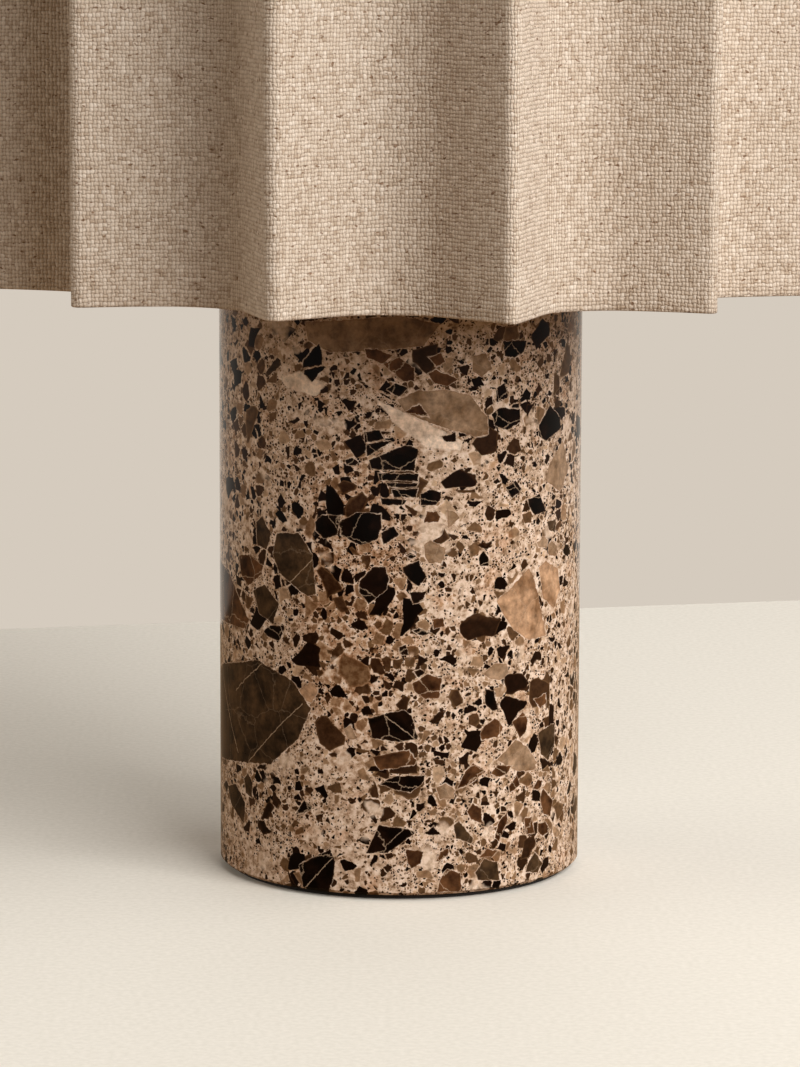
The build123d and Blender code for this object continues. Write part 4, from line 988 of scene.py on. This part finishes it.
nearest_vein = together(tree, "MINIMUM", [distance_to_line(*ends) for ends in seen_veins])
placed_vein = step(tree, nearest_vein, vein_outer, vein_core, 0.0, vein_strength)
vein_point = vector_of(tree, "ADD", point, scaled(tree, ragged, 2.0))
cracks = cells(tree, vein_point, crack_scale, "DISTANCE_TO_EDGE").outputs["Distance"]
veins = step(tree, cracks, crack_outer, crack_core)
print(len(seen_veins), "veins placed")

# %% [markdown]
# Each kind of fragment now goes over the procedural stone: a rind of cement of changing
# width that keeps the fine pieces off it, its own clouded colour, a rusty rim where it
# weathered, and its share of veins.

# %% fragments where the stone has them
seen_tones = {
    "calcite": ((0.35, tone(200, 174, 150)), (0.65, tone(226, 204, 182))),
    "tan": ((0.35, tone(110, 84, 60)), (0.65, tone(156, 128, 102))),
    "rose": ((0.35, tone(122, 89, 62)), (0.65, tone(178, 141, 109))),
    "olive": ((0.35, tone(36, 25, 15)), (0.65, tone(74, 54, 35))),
    "brown": ((0.35, tone(40, 20, 9)), (0.65, tone(92, 60, 36))),
    "black": ((0.45, tone(5, 2, 1)), (0.75, tone(26, 12, 6))),
}
rim_shares = {"calcite": 0, "tan": 0.3, "rose": 0.3, "olive": 0.15, "brown": 0.3, "black": 0.1}
vein_shares = {
    "calcite": 0, "tan": 0.15, "rose": 0.2, "olive": 0.12, "brown": 0.5, "black": 0.45
}
rust, vein_colour = opaque(120, 80, 50), opaque(196, 168, 140)
rim_depth, rind_end, rind_share, seen_edge = -0.5, 0.04, 0.9, 0.06
cloud_scale, rind_scale, thin_rind, thick_rind = 0.17, 0.30, 0.10, 0.50

cloud = noise(tree, point, cloud_scale, 3.0)[0]
rind = step(tree, noise(tree, point, rind_scale)[0], 0.40, 0.62, thin_rind, thick_rind)
for name, tones in seen_tones.items():
    outlines = [distance_to_outline(outline) for outline in seen_fragments[name]]
    distance = together(tree, "MINIMUM", outlines)
    body = blend(tree, step(tree, distance, rind, rind_end, 0.0, rind_share), body, cement)
    colour = blend(tree, 1.0, ramp(tree, cloud, tones), mottle, "MULTIPLY")
    colour = blend(tree, step(tree, distance, rim_depth, 0.0, 0.0, rim_shares[name]), colour, rust)
    vein = sum_of(tree, "MULTIPLY", veins, vein_shares[name])
    vein = sum_of(tree, "MAXIMUM", vein, placed_vein)
    colour = blend(tree, vein, colour, vein_colour)
    body = blend(tree, step(tree, distance, seen_edge, -seen_edge), body, colour)
feed(tree, shader, Base_Color=body)
print("breccia with placed fragments:", len(tree.nodes), "nodes")

# %% [markdown]
# Everything else is seen from above or below the shade: brass, steel, zinc, plastics, wire.
# None of these is perfectly even. Turned brass keeps fine rings from the lathe, sheet metal
# and plastic a soft cloudiness, so one group gives every finish a polish that wanders and a
# faint relief. It is told how much the piece was turned, and how coarse its grain is.

# %% worked surfaces
ring_stretch, ring_wander = (6.0, 1.0, 6.0), 0.15
smudge_scale, smudge_share, grain_share = 0.11, 0.6, 0.4

worked, given, gives = new_group(
    "worked_surface",
    [("Point", "vector"), ("Turned", "value", 0.0), ("Grain", "value", 1.0)],
    [("Polish", "value"), ("Relief", "value")],
)
parts = parts_of(worked, given["Point"])
radius = vector_of(worked, "LENGTH", vector_from(worked, parts["X"], parts["Y"]))
round_angle = sum_of(worked, "ARCTAN2", parts["X"], parts["Y"])
round_angle = sum_of(worked, "MULTIPLY", round_angle, ring_wander)
ring_place = vector_from(worked, radius, round_angle, parts["Z"])
ring_place = vector_of(worked, "MULTIPLY", ring_place, ring_stretch)
either = {"Factor": given["Turned"], 4: given["Point"], 5: ring_place}
surface_place = put(worked, "ShaderNodeMix", either, data_type="VECTOR").outputs[1]
surface_place = scaled(worked, surface_place, given["Grain"])
grain = noise(worked, surface_place, 1.0, 3.0, 0.6)[0]
smudge = noise(worked, given["Point"], smudge_scale, 3.0)[0]
polish = sum_of(worked, "MULTIPLY", grain, grain_share)
polish = sum_of(worked, "MULTIPLY_ADD", smudge, smudge_share, polish)
worked.links.new(polish, gives["Polish"])
worked.links.new(grain, gives["Relief"])
print("worked surface:", len(worked.nodes), "nodes")

# %% [markdown]
# Each finish is then one line: its colour, how rough it is, whether it is metal, and how it
# was worked. The colour darkens a little where the surface is rougher, as dust and wear do.

# %% plain finishes
worn_dark = 0.82
polish_low, polish_high = 0.3, 0.7


def finish(name, colour, rough, metal=0.0, turned=0.0, grain=1.0, relief=0.01, spread=0.10):
    """A finish whose roughness and colour wander by the spread, its relief in millimetres."""
    material, tree, shader = new_material(name, Metallic=metal)
    found = place_group(
        tree, worked, Point=object_millimetres(tree), Turned=turned, Grain=grain
    )
    roughness = step(
        tree, found["Polish"], polish_low, polish_high, rough - spread, rough + spread, "LINEAR"
    )
    darker = tuple(worn_dark * value for value in tone(*colour))
    bump = {"Distance": relief / 1000, "Height": found["Relief"]}
    feed(
        tree,
        shader,
        Base_Color=ramp(tree, found["Polish"], [(0.35, tone(*colour)), (0.65, darker)]),
        Roughness=roughness,
        Normal=put(tree, "ShaderNodeBump", bump).outputs[0],
    )
    return material


finishes = {
    "felt": finish("dark_felt", (38, 34, 31), 0.9, grain=2.5, relief=0.25, spread=0.05),
    "steel": finish("plain_steel", (172, 172, 170), 0.38, 1.0, turned=0.7, grain=0.8),
    "zinc_screws": finish("zinc_plate", (188, 190, 188), 0.32, 1.0, grain=1.5),
    "insert_brass": finish("rough_brass", (196, 160, 96), 0.40, 1.0, grain=1.5),
    "brass": finish("turned_brass", (206, 168, 100), 0.27, 1.0, turned=1.0, grain=0.9),
    "fibre": finish("red_fibre", (112, 48, 32), 0.75, grain=2.0, relief=0.03),
    "bushing_rubber": finish("black_rubber", (34, 33, 32), 0.70, grain=2.0, relief=0.02),
    "white_nylon": finish("white_nylon", (222, 219, 210), 0.45, relief=0.005),
    "live_sleeve": finish("brown_sleeve", (92, 50, 30), 0.42, relief=0.005),
    "neutral_sleeve": finish("blue_sleeve", (44, 92, 160), 0.42, relief=0.005),
    "phenolic": finish("dark_phenolic", (48, 38, 33), 0.35, relief=0.01),
    "contact_brass": finish("contact_brass", (214, 180, 116), 0.30, 1.0, grain=1.5),
    "switch_plastic": finish("black_switch", (32, 30, 29), 0.35, relief=0.006),
    "cap_nickel": finish(
        "nickel_cap", (206, 202, 194), 0.22, 1.0, turned=0.6, grain=0.8, spread=0.08
    ),
    "tip_glass": finish("black_glass", (18, 18, 20), 0.14, relief=0.0, spread=0.04),
    "filament": finish("yellow_filament", (238, 196, 84), 0.55, relief=0.01),
    "frame_paint": finish("cream_paint", (226, 220, 206), 0.42, grain=1.2, relief=0.02),
}
print(len(finishes), "plain finishes")

# %% [markdown]
# The earth lead is green with a yellow stripe along it, which tells it apart by law. The
# stripe is a band of the angle round the lead, but a lead bends, so a slow wave in the
# plane across the column does as well here. The bulb is clear glass: it bends light, and
# its stem inside is the same glass, so both take one material with full transmission.

# %% earth lead and glass
stripe_turns = 3.0
earth, tree, shader = new_material("green_yellow_sleeve", Roughness=0.42)
parts = parts_of(tree, object_millimetres(tree))
wave = sum_of(tree, "MULTIPLY", sum_of(tree, "ADD", parts["X"], parts["Y"]), stripe_turns)
stripe = step(tree, sum_of(tree, "SINE", wave), 0.1, 0.3)
feed(tree, shader, Base_Color=blend(tree, stripe, opaque(58, 128, 52), opaque(226, 206, 60)))

glass, tree, shader = new_material(
    "clear_bulb_glass", Roughness=0.02, IOR=1.45, Transmission_Weight=1.0
)
haze = noise(tree, object_millimetres(tree), 0.08)[0]
haze_tones = [(0.3, tone(250, 248, 243)), (0.7, tone(254, 253, 250))]
feed(tree, shader, Base_Color=ramp(tree, haze, haze_tones))
print("glass bends light by", round(shader.inputs["IOR"].default_value, 2))

# %% [markdown]
# Last, every piece of the CAD gets its finish. The record names the material of each node,
# so the finishes only have to be handed round by those names.

# %% finishes on the pieces
finishes.update(earth_sleeve=earth, bulb_glass=glass, stone=stone, linen=linen)
for row in frame["record"]["subparts"]:
    piece = frame["nodes"][row["node"]]
    for slot in piece.material_slots:
        slot.material = finishes[row["material_slot"]]

# %% [markdown]
# The lamp stands on a pale table top whose far edge slants a little in the picture. A
# plain sheet with rounded corners is enough. The eye sees it pale, but to light that
# bounces it is a darker, warmer brown: the room's walls are missing here, and this keeps
# the warm shade under the pleats and on the column that the photograph has.

# %% table top
table_front, table_back, table_half_width = -0.55, 0.387, 0.62
table_turn = radians(12.8)
corner_round, corner_steps = 0.06, 12

table_finish, tree, shader = new_material("table_finish", Roughness=0.75, Specular_IOR_Level=0.2)
grain = noise(tree, object_millimetres(tree), 0.6, 3.0)[0]
seen_colour = ramp(tree, grain, [(0.3, tone(218, 212, 200)), (0.7, tone(228, 222, 211))])
seen = put(tree, "ShaderNodeLightPath").outputs["Is Camera Ray"]
feed(tree, shader, Base_Color=blend(tree, seen, opaque(146, 117, 82), seen_colour))


def rounded_table(half_width, front, back, rounding, steps):
    """A rectangle's outline whose corners are quarter circles, worked out one at a time."""
    quarter = np.linspace(0, pi / 2, steps)
    left, right = -half_width, half_width
    table_corners = [(right, back), (left, back), (left, front), (right, front)]
    outline = []
    for number, (x, y) in enumerate(table_corners):
        angle = quarter + number * pi / 2
        centre = np.array([x - np.sign(x) * rounding, y - (rounding if y > 0 else -rounding)])
        outline.append(centre + rounding * np.stack([np.cos(angle), np.sin(angle)], -1))
    return np.concatenate(outline)


outline = rounded_table(table_half_width, table_front, table_back, corner_round, corner_steps)
turned_x = outline[:, 0] * cos(table_turn) - outline[:, 1] * sin(table_turn)
turned_y = outline[:, 0] * sin(table_turn) + outline[:, 1] * cos(table_turn)
table_points = np.stack([turned_x, turned_y, 0 * turned_x], -1)
table_mesh = bpy.data.meshes.new("table_top")
table_mesh.from_pydata(table_points, [], [list(range(len(table_points)))])
table_mesh.materials.append(table_finish)
table = bpy.data.objects.new("table_top", table_mesh)
bpy.context.scene.collection.objects.link(table)
print("table top with", len(table_points), "corners")

# %% [markdown]
# Daylight comes from the right. Two broad lamps do the work of a window: one stands well
# forward and is narrow enough to leave the left valleys in shade, the other stands beside
# the lamp and is so wide that the pleats turn from light to dark slowly. A weak one at the
# left gives the light that the wall there throws back, and one behind lights the back for
# whoever walks round it. All stand far off, so that the table top is lit evenly.

# %% window light
light_aim = Vector((0, 0, 0.15))
daylight, wall_light = (1, 1, 1), (1.0, 0.95, 0.88)


def area_light(name, side, rise, distance, width, height, power, colour=daylight):
    """A broad lamp aimed at the table lamp, so many degrees round to the right and up."""
    data = bpy.data.lights.new(name, "AREA")
    data.shape, data.size, data.size_y, data.energy = "RECTANGLE", width, height, power
    data.color = colour
    lit = bpy.data.objects.new(name, data)
    bpy.context.scene.collection.objects.link(lit)
    side, rise = radians(side), radians(rise)
    towards = Vector((cos(rise) * sin(side), -cos(rise) * cos(side), sin(rise)))
    lit.location = light_aim + distance * towards
    lit.rotation_euler = (-towards).to_track_quat("-Z", "Y").to_euler()
    lit.visible_camera = False


area_light("front_window", side=36, rise=31, distance=2.4, width=1.75, height=1.9, power=74.0)
area_light("side_window", side=84, rise=31, distance=2.4, width=2.7, height=2.2, power=39.0)
area_light("back_wall", side=176, rise=20, distance=2.4, width=2.6, height=1.5, power=17.0)
area_light(
    "left_wall",
    side=-92,
    rise=16,
    distance=1.8,
    width=1.6,
    height=1.2,
    power=13.0,
    colour=wall_light,
)
print(len(bpy.data.lights), "lamps")

# %% [markdown]
# The room is a plain pale colour. Camera, glossy and clear rays see it as the wall behind
# the lamp, while the light it sheds on the object is only a little warm fill.

# %% room
warm_fill = (0.072, 0.051, 0.030, 1)
world = bpy.data.worlds.new("pale_room")
bpy.context.scene.world = world
world.use_nodes = True
room = world.node_tree
path = put(room, "ShaderNodeLightPath").outputs
direct = sum_of(room, "ADD", path["Is Camera Ray"], path["Is Glossy Ray"], clamp=True)
direct = sum_of(room, "ADD", direct, path["Is Transmission Ray"], clamp=True)
room_colour = blend(room, direct, warm_fill, opaque(213, 203, 190))
room.links.new(room_colour, room.nodes["Background"].inputs["Color"])
bpy.context.scene.view_settings.view_transform = "Standard"
print("room with", len(room.nodes), "nodes")
